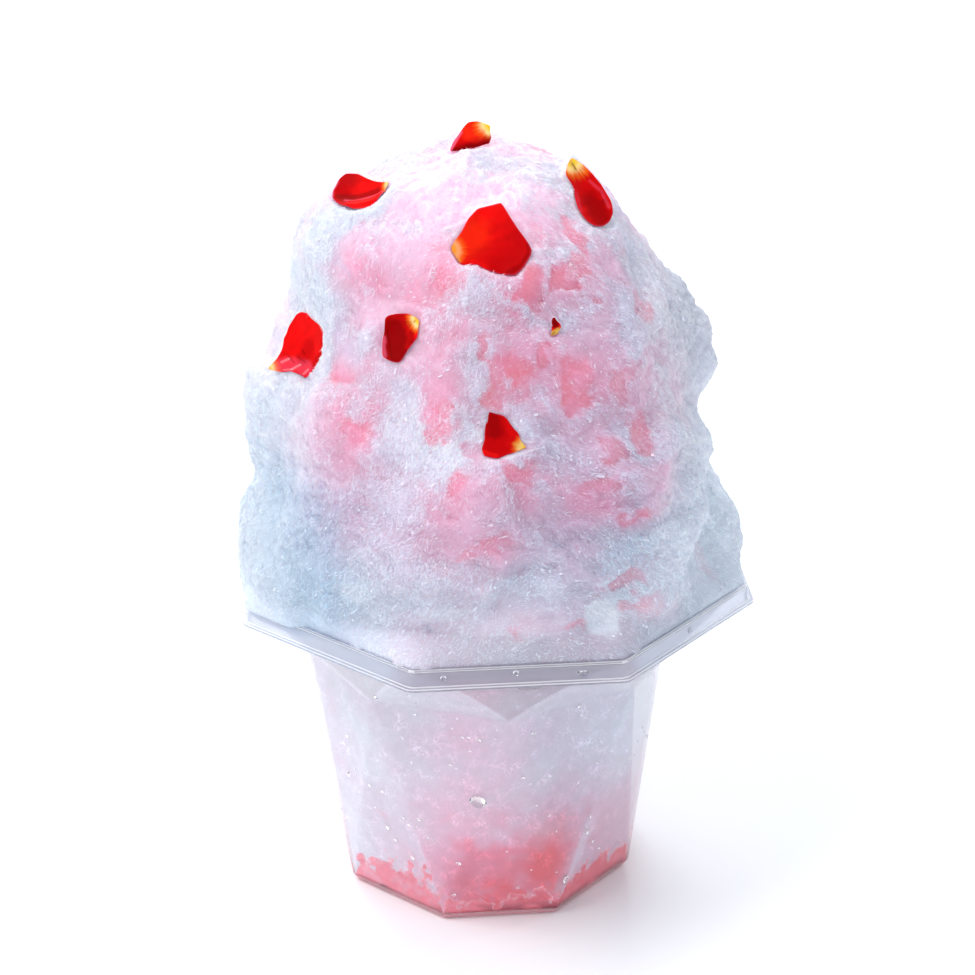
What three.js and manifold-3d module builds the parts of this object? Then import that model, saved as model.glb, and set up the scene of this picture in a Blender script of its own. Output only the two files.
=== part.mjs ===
// A kakigori: a tall heap of shaved ice with rose petals, in a clear eight-sided plastic cup.
// Millimetres, +Z up, with the origin in the middle of the foot that the cup stands on.

import * as THREE from 'three';
import { mergeVertices } from 'three/addons/utils/BufferGeometryUtils.js';
import Module from 'manifold-3d';

const wasm = await Module();
wasm.setup();

// ---------------------------------------------------------------- driving dimensions

const GAP = 0.3;                    // clearance between neighbouring pieces

// The cup is a stack of octagons. A radius runs from the axis to a corner.
const CORNERS = 8;
const HALF_TURN = Math.PI / CORNERS;
const CUP_HEIGHT = 83;
const WALL = 0.8;
const FOOT_RADIUS = 35.2;
const BASE_RADIUS = 36.8;
const BASE_HEIGHT = 2.2;            // top of the bevel above the foot
const FOOT_WIDTH = 3.7;
const PANEL_RISE = 1.6;             // the bottom panel is pushed up inside the foot
const SHOULDER_RADIUS = 44;
const SHOULDER_HEIGHT = 60;
const LEDGE_INNER_RADIUS = 61.4;
const LEDGE_OUTER_RADIUS = 63.4;
const SKIRT_HEIGHT = 4;             // from the flange up to the ledge
const SKIRT_FLARE = 0.5;
const FLANGE_RADIUS = 65;
const EDGE_SOFTNESS = 0.4;          // bevel along both edges of the ledge
const RIM_CORNER_RADIUS = 3;

// Syrup has run down and stands at the bottom, higher at some sides.
const SYRUP_LEVEL = 4.8;
const SYRUP_WAVE = 2.2;
const SYRUP_RIM = 46;               // just past the cavity all round

// The heap is seen from its core: in every direction its radius blends the reaches of
// these rounded scoops. Each scoop is [x, y, z, half width, half height].
const CORE_HEIGHT = 100;
const BLEND = 16;
const BODY = [[-2, 0, 118, 45, 59], [0, 1, 92, 51, 41], [0, 0, 86, 54.5, 12]];
const CROWN = [
  [-2, 2, 151.5, 29, 27.5], [7, 3, 149, 27, 26.5], [-14, 0, 149, 28, 28],
  [-3, 16, 147, 26, 28], [-2, -10, 145, 27, 29],
];
const LEFT_SCOOPS = [
  [-27, -5, 155, 18.5, 20], [-25, 3, 138, 23, 24], [-44, -2, 121.5, 13, 13],
  [-37, 2, 104, 19, 19], [-38, -6, 92, 19, 19], [-30, -22, 118, 18, 18], [-35, -27, 94, 18, 20],
  [-42, -15, 90, 17, 15],
];
const RIGHT_SCOOPS = [
  [22, 2, 135, 24, 25], [39.5, 2, 131, 12, 12], [34, 0, 100, 16, 14],
  [40, -6, 91, 18.5, 15], [39, 12, 87, 18, 14],
];
const FRONT_SCOOPS = [
  [-12, -22, 140, 21, 23], [14, -23, 140, 19, 18], [-28, -22, 133, 14, 14],
  [16, -26, 120, 24, 18], [-6, -30, 116, 22, 22], [34, -18, 117, 14, 12],
  [26, -30, 106, 18, 15], [-16, -32, 102, 22, 22], [8, -34, 98, 20, 18],
  [22, -33, 90, 18, 14], [-6, -33, 88, 20, 14],
];
const BACK_SCOOPS = [
  [-20, 22, 145, 19, 21], [14, 24, 139, 21, 21], [-26, 28, 119, 19, 19],
  [4, 34, 121, 18, 21], [30, 24, 115, 17, 17], [-20, 36, 99, 19, 19],
  [12, 38, 97, 18, 19], [34, 28, 95, 17, 17], [-38, 20, 95, 17, 19], [-4, 40, 87, 15, 13],
];
const SCOOPS = [...BODY, ...CROWN, ...LEFT_SCOOPS, ...RIGHT_SCOOPS, ...FRONT_SCOOPS, ...BACK_SCOOPS];

// Relief on the heap: soft lumps, sharp crests between flakes, ledges and crumbs.
const LUMPS = { height: 2.4, size: 12 };
const CRESTS = { height: 2.6, size: 8 };
const LEDGES = { height: 2.2, size: 9, flatness: 2.4 };
const CRUMBS = { height: 1.1, size: 3.4 };
const HEAP_CELL = 3.8;              // spacing of the heap's surface points
const HEAP_END = 112 * Math.PI / 180; // the heap reaches this far round below its core
const HEAP_REACH = 59.8;            // it stays inside the cup's outline
const PACKED_HEIGHT = 82.2;         // the cup is packed with ice up to here
const HEAP_FOOT = 77;               // where the heap ends inside the packed ice

// Petals: a point near the middle, the way the upper face looks (compass and tilt in
// degrees), the outline in that face (across, up) and how its edges curl toward the viewer.
const PETAL_THICKNESS = 0.6;
const PETAL_SIDES = 18;
const PETAL_RINGS = 2;
const BED_DEPTH = 6;                // ice pressed up behind a petal
const SEAT_HEIGHT = 16;             // loose ice is cleared in front of it
const PETALS = [
  {
    name: 'petal_top', at: [-5, 4.5, 185], facing: [-97, 42], curl: [0.02, 0.05], standing: true,
    outline: [[-5.5, -3.8], [-3.5, -1], [-2, 2.4], [-0.4, 4], [2.4, 4], [4.8, 2.8], [5, 0.8], [4.2, -1.6],
      [-0.6, -2.6]],
  },
  {
    name: 'petal_left_top', at: [-30.9, -3.3, 175.9], facing: [-134, 55], curl: [0.03, 0.05],
    outline: [[-6, -2.5], [-6.5, 2.5], [-5, 4.2], [-1.8, 4.5], [1.5, 4], [6, 4.7], [7, 2], [6.5, -0.5],
      [4, -4], [0, -4.2], [-4, -4.4]],
  },
  {
    name: 'petal_right_top', at: [20.4, -8, 175.9], facing: [-64, 49], curl: [0.06, 0.01],
    outline: [[0.2, 9], [2.6, 7], [4.6, 0], [4.4, -6], [0.5, -9], [-3.2, -7], [-3.5, -1], [-2.6, 2],
      [-2.8, 5.7]],
  },
  {
    name: 'petal_large', at: [-4.1, -26.7, 171.6], facing: [-95, 39], curl: [0.012, 0.004],
    outline: [[-8, -0.7], [-5.6, -4.4], [-3, -4], [0.5, -6], [4, -7], [6.2, -5.8], [9.4, -1.5], [6.5, 4],
      [2.8, 9.6], [-1.6, 8.6], [-4.4, 5.3], [-6.4, 1.8]],
  },
  {
    name: 'petal_left_edge', at: [-45.1, -11, 142.5], facing: [-136, 11], curl: [0.02, 0.01],
    outline: [[-8, -7.6], [-5.7, -4.5], [-4.5, 2.5], [-2.2, 7], [0.2, 7.9], [6.2, 6.7], [7.9, 4.2],
      [7, -2], [3.3, -6.8], [-4.3, -7.7]],
  },
  {
    name: 'petal_mid_left', at: [-24.7, -35.4, 154.1], facing: [-118, 31], curl: [0.04, 0.01],
    outline: [[-3.9, 3.6], [-2.6, 4.6], [0.7, 5.3], [3, 4.9], [4.4, 1.3], [2.3, -3.3], [1.6, -5.6],
      [0, -5.8], [-2.8, -5], [-3.3, -0.3]],
  },
  {
    name: 'petal_scrap', at: [9.7, -37.1, 155.9], facing: [-88, 32], curl: [0.05, 0.02],
    outline: [[-0.6, 2], [0.5, 2], [1.3, 0], [0.7, -1.6], [-0.9, -2], [-1, -0.3]],
  },
  {
    name: 'petal_low', at: [-3.4, -45.4, 134.5], facing: [-95, 26], curl: [0.03, 0.01],
    outline: [[-2.5, 4.5], [-0.9, 5], [2.9, 2.2], [5.8, -3.1], [1.4, -5], [-3.5, -4.2], [-3.3, 0.7]],
  },
];

// ---------------------------------------------------------------- solids from rings

const angleOf = (point) => (Math.atan2(point.y, point.x) + 2 * Math.PI) % (2 * Math.PI);

// The middle angle of every edge of a ring, as seen from the axis.
function edgeAngles(ring) {
  return ring.map((point, i) => {
    const next = ring[(i + 1) % ring.length];
    const span = (angleOf(next) - angleOf(point) + 2 * Math.PI) % (2 * Math.PI);
    return (angleOf(point) + span / 2) % (2 * Math.PI);
  });
}

// The first edge in angles that comes at or after an angle, going round.
function nextEdge(angles, angle, strictly) {
  let best = 0;
  let nearest = Infinity;
  angles.forEach((other, i) => {
    let ahead = other - angle;
    if (ahead < 0 || (strictly && ahead === 0)) ahead += 2 * Math.PI;
    if (ahead < nearest) {
      nearest = ahead;
      best = i;
    }
  });
  return best;
}

// A closed solid: a first point, rings that each run counter-clockwise seen from above,
// and a last point. Rings of different counts are joined by the angles of their edges.
function solidFromRings(first, rings, last) {
  const points = [first, ...rings.flat(), last];
  const starts = [];
  let count = 1;
  for (const ring of rings) {
    starts.push(count);
    count += ring.length;
  }
  const index = [];
  const around = (ring, i) => starts[ring] + (i % rings[ring].length);
  rings[0].forEach((_, i) => index.push(0, around(0, i + 1), around(0, i)));
  for (let k = 0; k + 1 < rings.length; k++) {
    const lower = edgeAngles(rings[k]);
    const upper = edgeAngles(rings[k + 1]);
    lower.forEach((angle, i) => {
      index.push(around(k, i), around(k, i + 1), around(k + 1, nextEdge(upper, angle, false)));
    });
    upper.forEach((angle, j) => {
      index.push(around(k + 1, j + 1), around(k + 1, j), around(k, nextEdge(lower, angle, true)));
    });
  }
  const end = rings.length - 1;
  rings[end].forEach((_, i) => index.push(around(end, i), around(end, i + 1), count));
  const geometry = new THREE.BufferGeometry().setFromPoints(points);
  geometry.setIndex(index);
  return geometry;
}

// A geometry as a solid that can be joined and cut, and back.
function toSolid(geometry) {
  const bare = geometry.clone();
  bare.deleteAttribute('normal');
  bare.deleteAttribute('uv');
  const merged = mergeVertices(bare);
  return new wasm.Manifold(new wasm.Mesh({
    numProp: 3,
    vertProperties: new Float32Array(merged.attributes.position.array),
    triVerts: new Uint32Array(merged.index.array),
  }));
}

function toGeometry(solid) {
  const mesh = solid.getMesh();
  const geometry = new THREE.BufferGeometry();
  geometry.setAttribute('position', new THREE.BufferAttribute(mesh.vertProperties, 3));
  geometry.setIndex(new THREE.BufferAttribute(mesh.triVerts, 1));
  return geometry;
}

// Loose scraps that a cut leaves behind are dropped.
const largestPiece = (solid) => solid.decompose().reduce((a, b) => (a.volume() > b.volume() ? a : b));

// A slab that is wider than everything, between two heights.
function slab(low, high) {
  const width = 4 * FLANGE_RADIUS;
  const box = new THREE.BoxGeometry(width, width, high - low);
  return toSolid(box.translate(0, 0, (low + high) / 2));
}

// ---------------------------------------------------------------- cup

const PLAIN = 'plain';              // a flat side faces the front
const TURNED = 'turned';            // a corner faces the front
const ROUNDED = 'rounded';          // like plain, with an arc at each corner

function octagon(radius, height, kind = PLAIN) {
  const points = [];
  for (let i = 0; i < CORNERS; i++) {
    const angle = -Math.PI / 2 + 2 * i * HALF_TURN - (kind === TURNED ? 0 : HALF_TURN);
    if (kind !== ROUNDED) {
      points.push(new THREE.Vector3(radius * Math.cos(angle), radius * Math.sin(angle), height));
      continue;
    }
    const inset = radius - RIM_CORNER_RADIUS / Math.cos(HALF_TURN);
    for (const swing of [-HALF_TURN, 0, HALF_TURN]) {
      points.push(new THREE.Vector3(
        inset * Math.cos(angle) + RIM_CORNER_RADIUS * Math.cos(angle + swing),
        inset * Math.sin(angle) + RIM_CORNER_RADIUS * Math.sin(angle + swing),
        height,
      ));
    }
  }
  return points;
}

// The inner faces from the ledge down to the raised panel, moved inward by a clearance.
function innerRings(clearance) {
  const inset = clearance / Math.cos(HALF_TURN);
  const moatRadius = FOOT_RADIUS - WALL + 0.2;
  return [
    octagon(LEDGE_INNER_RADIUS - inset, CUP_HEIGHT, ROUNDED),
    octagon(LEDGE_INNER_RADIUS - EDGE_SOFTNESS - inset, CUP_HEIGHT - EDGE_SOFTNESS, ROUNDED),
    octagon(SHOULDER_RADIUS - WALL - 0.2 - inset, SHOULDER_HEIGHT + 0.2, TURNED),
    octagon(BASE_RADIUS - WALL - 0.1 - inset, BASE_HEIGHT + 0.2),
    octagon(moatRadius - inset, WALL + 0.1 + clearance),
    octagon(moatRadius - FOOT_WIDTH + 1 - inset, WALL + 0.1 + clearance),
    octagon(moatRadius - FOOT_WIDTH - 1 - inset, PANEL_RISE + WALL + clearance),
  ];
}

function cupGeometry() {
  const skirtTop = LEDGE_OUTER_RADIUS - 1;
  const flangeTop = CUP_HEIGHT - SKIRT_HEIGHT;
  const outerRings = [
    octagon(FOOT_RADIUS - FOOT_WIDTH - 2, PANEL_RISE),
    octagon(FOOT_RADIUS - FOOT_WIDTH, 0),
    octagon(FOOT_RADIUS, 0),
    octagon(BASE_RADIUS, BASE_HEIGHT),
    octagon(SHOULDER_RADIUS, SHOULDER_HEIGHT, TURNED),
    octagon(LEDGE_INNER_RADIUS - 0.2, CUP_HEIGHT - 1.4, ROUNDED),
    octagon(skirtTop, CUP_HEIGHT - 1.4, ROUNDED),
    octagon(skirtTop + EDGE_SOFTNESS, flangeTop - WALL, ROUNDED),
    octagon(FLANGE_RADIUS, flangeTop - WALL, ROUNDED),
    octagon(FLANGE_RADIUS, flangeTop, ROUNDED),
    octagon(LEDGE_OUTER_RADIUS + SKIRT_FLARE, flangeTop, ROUNDED),
    octagon(LEDGE_OUTER_RADIUS, CUP_HEIGHT - EDGE_SOFTNESS, ROUNDED),
    octagon(LEDGE_OUTER_RADIUS - EDGE_SOFTNESS, CUP_HEIGHT, ROUNDED),
  ];
  return solidFromRings(
    new THREE.Vector3(0, 0, PANEL_RISE),
    [...outerRings, ...innerRings(0)],
    new THREE.Vector3(0, 0, PANEL_RISE + WALL),
  );
}

// The room inside the cup, clear of its walls and carried on up through the opening.
function cavity() {
  const inset = GAP / Math.cos(HALF_TURN);
  const opening = octagon(LEDGE_INNER_RADIUS - inset, CUP_HEIGHT + 1, ROUNDED);
  return toSolid(solidFromRings(
    new THREE.Vector3(0, 0, PANEL_RISE + WALL + GAP),
    [...innerRings(GAP).reverse(), opening],
    new THREE.Vector3(0, 0, CUP_HEIGHT + 1),
  ));
}

// ---------------------------------------------------------------- heap of shaved ice

// Repeatable noise between 0 and 1, smooth between the points of a unit grid.
function cornerValue(i, j, k) {
  const wave = Math.sin(i * 127.1 + j * 311.7 + k * 74.7) * 43758.5453;
  return wave - Math.floor(wave);
}

function noise(x, y, z) {
  const cell = [x, y, z].map(Math.floor);
  const fade = [x, y, z].map((value, axis) => THREE.MathUtils.smoothstep(value - cell[axis], 0, 1));
  let sum = 0;
  for (let corner = 0; corner < 8; corner++) {
    const side = [corner & 1, (corner >> 1) & 1, corner >> 2];
    const weight = side.reduce((w, s, axis) => w * (s ? fade[axis] : 1 - fade[axis]), 1);
    sum += weight * cornerValue(cell[0] + side[0], cell[1] + side[1], cell[2] + side[2]);
  }
  return sum;
}

// How far a scoop reaches from the heap's core in a direction, zero where it is missed.
function scoopReach(direction, [x, y, z, wide, tall]) {
  const size = new THREE.Vector3(wide, wide, tall);
  const toCore = new THREE.Vector3(-x, -y, CORE_HEIGHT - z).divide(size);
  const along = direction.clone().divide(size);
  const a = along.lengthSq();
  const b = along.dot(toCore);
  const inside = b * b - a * (toCore.lengthSq() - 1);
  return inside > 0 ? Math.max((Math.sqrt(inside) - b) / a, 0) : 0;
}

function heapRadius(direction) {
  const reaches = SCOOPS.map((scoop) => scoopReach(direction, scoop));
  const furthest = Math.max(...reaches);
  const blended = reaches.reduce((sum, reach) => sum + (reach / furthest) ** BLEND, 0);
  return furthest * blended ** (1 / BLEND);
}

function relief({ x, y, z }) {
  const around = (size, flatness = 1) => noise(x / size + 40, y / size + 40, z * flatness / size);
  const crest = 1 - Math.abs(2 * around(CRESTS.size) - 1);
  return LUMPS.height * (around(LUMPS.size) - 0.5)
    + CRESTS.height * (crest ** 2 - 0.45)
    + LEDGES.height * (around(LEDGES.size, LEDGES.flatness) - 0.5)
    + CRUMBS.height * (around(CRUMBS.size) - 0.5);
}

const core = new THREE.Vector3(0, 0, CORE_HEIGHT);
const directionAt = (compass, polar) => new THREE.Vector3(
  Math.sin(polar) * Math.cos(compass),
  Math.sin(polar) * Math.sin(compass),
  Math.cos(polar),
);

function heapPoint(direction) {
  const smooth = core.clone().addScaledVector(direction, heapRadius(direction));
  const point = smooth.clone().addScaledVector(direction, relief(smooth));
  point.x = THREE.MathUtils.clamp(point.x, -HEAP_REACH, HEAP_REACH);
  point.y = THREE.MathUtils.clamp(point.y, -HEAP_REACH, HEAP_REACH);
  return point;
}

function meanRadius(polar) {
  let sum = 0;
  for (let i = 0; i < CORNERS; i++) sum += heapRadius(directionAt(2 * i * HALF_TURN, polar));
  return sum / CORNERS;
}

// Rings round the heap from its foot up to its top, so that all its cells are alike in size.
function heap() {
  const rings = [];
  let polar = HEAP_CELL / meanRadius(0);
  while (polar < HEAP_END) {
    const radius = meanRadius(polar);
    const count = Math.max(6, Math.round(2 * Math.PI * radius * Math.sin(polar) / HEAP_CELL));
    const shift = (rings.length % 2) / 2;
    const ring = [];
    for (let i = 0; i < count; i++) {
      ring.push(heapPoint(directionAt(2 * Math.PI * (i + shift) / count, polar)));
    }
    rings.unshift(ring);
    polar += HEAP_CELL / radius;
  }
  return toSolid(solidFromRings(
    new THREE.Vector3(0, 0, HEAP_FOOT),
    rings,
    heapPoint(new THREE.Vector3(0, 0, 1)),
  ));
}

// ---------------------------------------------------------------- syrup

// Everything below the syrup's uneven surface, raised by a clearance.
function belowSyrup(clearance) {
  const sides = 40;
  const steps = 6;
  const rings = [];
  for (let step = steps; step >= 1; step--) {
    const radius = SYRUP_RIM * step / steps;
    const ring = [];
    for (let i = 0; i < sides; i++) {
      const angle = 2 * Math.PI * i / sides;
      const x = radius * Math.cos(angle);
      const y = radius * Math.sin(angle);
      const wave = 2 * noise(x / 9 + 20, y / 9 + 20, 0.5) - 1;
      ring.push(new THREE.Vector3(x, y, SYRUP_LEVEL + SYRUP_WAVE * wave + clearance));
    }
    rings.push(ring);
  }
  const bottom = rings[0].map((point) => new THREE.Vector3(point.x, point.y, -BASE_HEIGHT));
  return toSolid(solidFromRings(
    new THREE.Vector3(0, 0, -BASE_HEIGHT),
    [bottom, ...rings],
    new THREE.Vector3(0, 0, SYRUP_LEVEL + clearance),
  ));
}

// ---------------------------------------------------------------- petals

// The petal's own frame: across, up and out of its upper face, at its middle.
function petalFrame({ at, facing: [compass, tilt], standing }) {
  const out = directionAt(THREE.MathUtils.degToRad(compass), THREE.MathUtils.degToRad(90 - tilt));
  const across = new THREE.Vector3(0, 0, 1).cross(out).normalize();
  const up = out.clone().cross(across);
  const middle = new THREE.Vector3(...at);
  if (!standing) {
    const direction = middle.clone().sub(core).normalize();
    middle.copy(core).addScaledVector(direction, heapRadius(direction));
  }
  return new THREE.Matrix4().makeBasis(across, up, out).setPosition(middle);
}

// A sheet over the petal's outline, grown sideways, between two heights above its face.
function sheet(petal, grow, low, high) {
  const corners = petal.outline.map(([across, up]) => new THREE.Vector3(across, up, 0));
  if (THREE.ShapeUtils.area(corners) < 0) corners.reverse();
  const edge = new THREE.CatmullRomCurve3(corners, true, 'catmullrom', 0.4).getSpacedPoints(PETAL_SIDES);
  edge.pop();
  const reach = (point) => 1 + grow / point.length();
  const height = ({ x, y }) => petal.curl[0] * x * x + petal.curl[1] * y * y;
  const ringAt = (share, offset) => edge.map((point) => {
    const spot = point.clone().multiplyScalar(share * reach(point));
    spot.z = height(spot) + offset;
    return spot;
  });
  const shares = Array.from({ length: PETAL_RINGS }, (_, i) => (i + 1) / PETAL_RINGS);
  return solidFromRings(
    new THREE.Vector3(0, 0, low),
    [...shares.map((share) => ringAt(share, low)), ...shares.reverse().map((share) => ringAt(share, high))],
    new THREE.Vector3(0, 0, high),
  ).applyMatrix4(petalFrame(petal));
}

const HALF_PETAL = PETAL_THICKNESS / 2;

// ---------------------------------------------------------------- assembly

const model = new THREE.Group();

function addPiece(name, geometry, colour, roughness, look = {}) {
  const material = new THREE.MeshStandardMaterial({ color: colour, roughness, metalness: 0, ...look });
  const mesh = new THREE.Mesh(geometry, material);
  mesh.name = name;
  model.add(mesh);
}

const room = cavity();
const openAir = slab(CUP_HEIGHT + GAP, 3 * CUP_HEIGHT);
const packed = slab(0, PACKED_HEIGHT);
let ice = heap().add(packed).intersect(room.add(openAir));
for (const petal of PETALS) {
  if (petal.standing) {
    ice = ice.subtract(toSolid(sheet(petal, GAP, -HALF_PETAL - GAP, HALF_PETAL + GAP)));
    continue;
  }
  ice = ice.add(toSolid(sheet(petal, -0.6, -BED_DEPTH, HALF_PETAL)));
  ice = ice.subtract(toSolid(sheet(petal, GAP, -HALF_PETAL - GAP, SEAT_HEIGHT)));
}
ice = largestPiece(ice.subtract(belowSyrup(GAP)));

addPiece('cup', cupGeometry(), 0xe8eef2, 0.08, { transparent: true, opacity: 0.35 });
addPiece('syrup', toGeometry(largestPiece(room.intersect(belowSyrup(0)))), 0xe23b4e, 0.2);
addPiece('ice', toGeometry(ice), 0xf3dbe6, 0.45);
for (const petal of PETALS) {
  addPiece(petal.name, sheet(petal, 0, -HALF_PETAL, HALF_PETAL), 0xc4121c, 0.5);
}

export default model;
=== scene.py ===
# %% [markdown]
# # Shaved ice with rose petals in a clear plastic cup
# A kakigori is a tall, loose heap of ice shavings. Syrup soaks into its middle and runs down to
# the bottom of the cup. Here the cup, the heap, the loose flakes, the syrup, the water drops and
# the petals are each worked out as surfaces with numpy, around a frame that fixes their places.

import functools
import itertools

import bpy
import numpy as np
from mathutils import Matrix, Vector


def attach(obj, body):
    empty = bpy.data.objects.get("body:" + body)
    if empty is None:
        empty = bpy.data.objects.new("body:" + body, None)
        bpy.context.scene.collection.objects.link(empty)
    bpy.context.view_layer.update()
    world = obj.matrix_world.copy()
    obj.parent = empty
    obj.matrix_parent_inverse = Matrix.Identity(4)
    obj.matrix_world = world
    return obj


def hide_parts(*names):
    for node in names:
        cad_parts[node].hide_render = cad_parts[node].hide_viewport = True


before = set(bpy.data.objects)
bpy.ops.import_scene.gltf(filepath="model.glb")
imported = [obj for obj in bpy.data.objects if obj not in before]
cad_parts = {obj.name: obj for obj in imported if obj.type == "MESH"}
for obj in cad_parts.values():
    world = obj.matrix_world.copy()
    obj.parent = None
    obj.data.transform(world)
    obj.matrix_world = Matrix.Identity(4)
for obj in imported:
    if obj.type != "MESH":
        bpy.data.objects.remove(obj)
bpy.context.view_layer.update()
MM = 0.001

# %% [markdown]
# ## Small tools
# Every surface below is a set of points in millimetres and some faces. The bmesh module could
# add them one by one, but with hundreds of thousands that is slow, so one function hands whole
# arrays to a mesh. Faces may have three or four corners, so they come as a list of arrays.

# %% Points and faces become a mesh


def mesh_piece(name, points, face_arrays, smooth=True):
    """A mesh object at the origin from points in millimetres and arrays of face corners."""
    mesh = bpy.data.meshes.new(name)
    corners = np.concatenate([faces.ravel() for faces in face_arrays])
    sizes = np.concatenate([np.full(len(faces), faces.shape[1]) for faces in face_arrays])
    mesh.vertices.add(len(points))
    mesh.vertices.foreach_set("co", (points * MM).astype(np.float32).ravel())
    mesh.loops.add(len(corners))
    mesh.loops.foreach_set("vertex_index", corners.astype(np.int32))
    mesh.polygons.add(len(sizes))
    mesh.polygons.foreach_set("loop_start", (np.cumsum(sizes) - sizes).astype(np.int32))
    mesh.polygons.foreach_set("use_smooth", np.full(len(sizes), smooth))
    mesh.update(calc_edges=True)
    mesh.validate()
    piece = bpy.data.objects.new(name, mesh)
    bpy.context.scene.collection.objects.link(piece)
    return piece


def point_values(piece, name, values):
    """Stores one number for each point of a piece, for its material to read."""
    layer = piece.data.attributes.new(name, "FLOAT", "POINT")
    layer.data.foreach_set("value", np.asarray(values, np.float32).ravel())


def point_colours(piece, name, colours):
    """Stores one linear colour for each point of a piece, for its material to read."""
    layer = piece.data.attributes.new(name, "FLOAT_COLOR", "POINT")
    full = np.concatenate([colours, np.ones((len(colours), 1))], 1)
    layer.data.foreach_set("color", full.astype(np.float32).ravel())


def closed_rows(rows, columns):
    """Faces of a closed surface: a first point, rows of points that go round, a last point.

    Row i, column j is point 1 + i * columns + j. Each quad joins a row to the next one, and
    a fan of triangles closes each end.
    """
    row, column = np.meshgrid(np.arange(rows - 1), np.arange(columns), indexing="ij")
    after = (column + 1) % columns
    start = 1 + row * columns
    quads = np.stack([start + column, start + columns + column, start + columns + after, start + after], -1)
    around = np.arange(columns)
    beside = (around + 1) % columns
    last = 1 + rows * columns
    end = last - columns
    top = np.stack([np.zeros_like(around), 1 + around, 1 + beside], -1)
    bottom = np.stack([np.full_like(around, last), end + beside, end + around], -1)
    return [quads.reshape(-1, 4), top, bottom]


def finish_piece(piece, material, slot, *nodes):
    """Gives a piece its material and hides the nodes it stands for; the slot is not used."""
    piece.data.materials.append(material)
    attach(piece, "root")
    if nodes:
        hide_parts(*nodes)
    print(f"{piece.name}: {len(piece.data.polygons)} faces")
    return piece


# %% [markdown]
# ## Noise
# Ice is uneven at every scale. A Displace modifier could add noise to a mesh, but here colours
# must follow the same noise as the form, so it is worked out as numbers. Gradient noise gives
# each corner of a grid of cubes a random slope, and blends the slopes of the eight corners around
# a point. Adding it at several sizes makes lumps with smaller lumps on them; folding it gives
# sharp crests.

# %% Noise for whole arrays of points
SLOPE_COUNT = 1024
SLOPES = np.random.default_rng(7).normal(size=(SLOPE_COUNT, 3))
SLOPES /= np.linalg.norm(SLOPES, axis=1, keepdims=True)


def noise(points, size, seed=0):
    """Gradient noise, about -1 to 1, whose lumps are size millimetres apart.

    Each corner's slope is picked by a hash of its whole numbers, with three large primes. The
    eight products of slope and offset are blended by the fade 6 t ** 5 - 15 t ** 4 + 10 t ** 3.
    """
    spot = np.asarray(points, float) / size + 17.3 * seed + 91.7
    cell = np.floor(spot).astype(np.int64)
    inside = spot - cell
    fade = inside ** 3 * (inside * (inside * 6 - 15) + 10)
    total = np.zeros(spot.shape[:-1])
    for corner in itertools.product((0, 1), repeat=3):
        node = cell + corner
        pick = (node[..., 0] * 73856093 ^ node[..., 1] * 19349663 ^ node[..., 2] * 83492791) % SLOPE_COUNT
        slope = ((inside - corner) * SLOPES[pick]).sum(-1)
        total += slope * np.where(corner, fade, 1 - fade).prod(-1)
    return total * 1.7


def crests(points, size, seed=0):
    """Folded noise: 1 along sharp winding crests, falling to 0 between them."""
    return 1 - np.clip(np.abs(noise(points, size, seed)) * 1.4, 0, 1)


def ramp(values, low, high):
    """0 below low, 1 above high and a smooth step between them."""
    share = np.clip((values - low) / (high - low), 0, 1)
    return share * share * (3 - 2 * share)


print(f"noise at {SLOPE_COUNT} points spreads {noise(SLOPES, 0.3).std():.2f} about 0")


# %% [markdown]
# ## Stage and light
# The floor is plain and pale. A large soft light above and to the left, a second one on the
# right and a bright surround keep the contrast low, as for food in a light tent. Lights behind
# and at the sides draw the bright edges that make ice look cold.

# %% Floor and lights
FLOOR_WHITE = (0.9, 0.91, 0.93, 1)
FLOOR_HALF = 3000
SURROUND = (0.93, 0.96, 1, 1)
SURROUND_STRENGTH = 0.7
HEAP_MIDDLE = (0, 0, 0.1)                          # in metres, where every light is turned to
# place and size in metres, power in watts, colour
LIGHTS = {
    "key_light": ((-0.7, -0.3, 1.3), 0.55, 10.4, (1, 0.99, 0.99)),
    "fill_light": ((0.9, -0.9, 0.6), 0.9, 2.0, (0.9, 0.95, 1)),
    "back_light": ((-0.1, 1.05, 0.8), 0.9, 11, (1, 1, 1)),
    "left_edge_light": ((-1.0, 0.16, 1.2), 0.25, 2.2, (1, 1, 1)),
    "right_edge_light": ((1.18, 0.32, 0.97), 0.25, 1.8, (0.95, 0.98, 1)),
}


def plain_material(name, colour, roughness):
    """A Principled material with one colour and roughness set on its own sockets."""
    material = bpy.data.materials.new(name)
    material.use_nodes = True
    shader = material.node_tree.nodes["Principled BSDF"]
    shader.inputs["Base Color"].default_value = colour
    shader.inputs["Roughness"].default_value = roughness
    return material


def soft_light(name, place, size, power, colour):
    """A square area light, turned to face the middle of the heap."""
    light = bpy.data.lights.new(name, "AREA")
    light.size = size
    light.energy = power
    light.color = colour
    lamp = bpy.data.objects.new(name, light)
    lamp.location = place
    toward = Vector(HEAP_MIDDLE) - Vector(place)
    lamp.rotation_euler = toward.to_track_quat("-Z", "Y").to_euler()
    bpy.context.scene.collection.objects.link(lamp)


floor_corners = np.array([[-1, -1, 0], [1, -1, 0], [1, 1, 0], [-1, 1, 0]])
floor = mesh_piece("floor", floor_corners * FLOOR_HALF, [np.array([[0, 1, 2, 3]])])
floor.data.materials.append(plain_material("pale_floor", FLOOR_WHITE, 0.6))
for name, settings in LIGHTS.items():
    soft_light(name, *settings)

world = bpy.data.worlds.new("studio")
world.use_nodes = True
world.node_tree.nodes["Background"].inputs["Color"].default_value = SURROUND
world.node_tree.nodes["Background"].inputs["Strength"].default_value = SURROUND_STRENGTH
bpy.context.scene.world = world
bpy.context.scene.view_settings.view_transform = "Standard"
print("lights:", ", ".join(LIGHTS))

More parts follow.
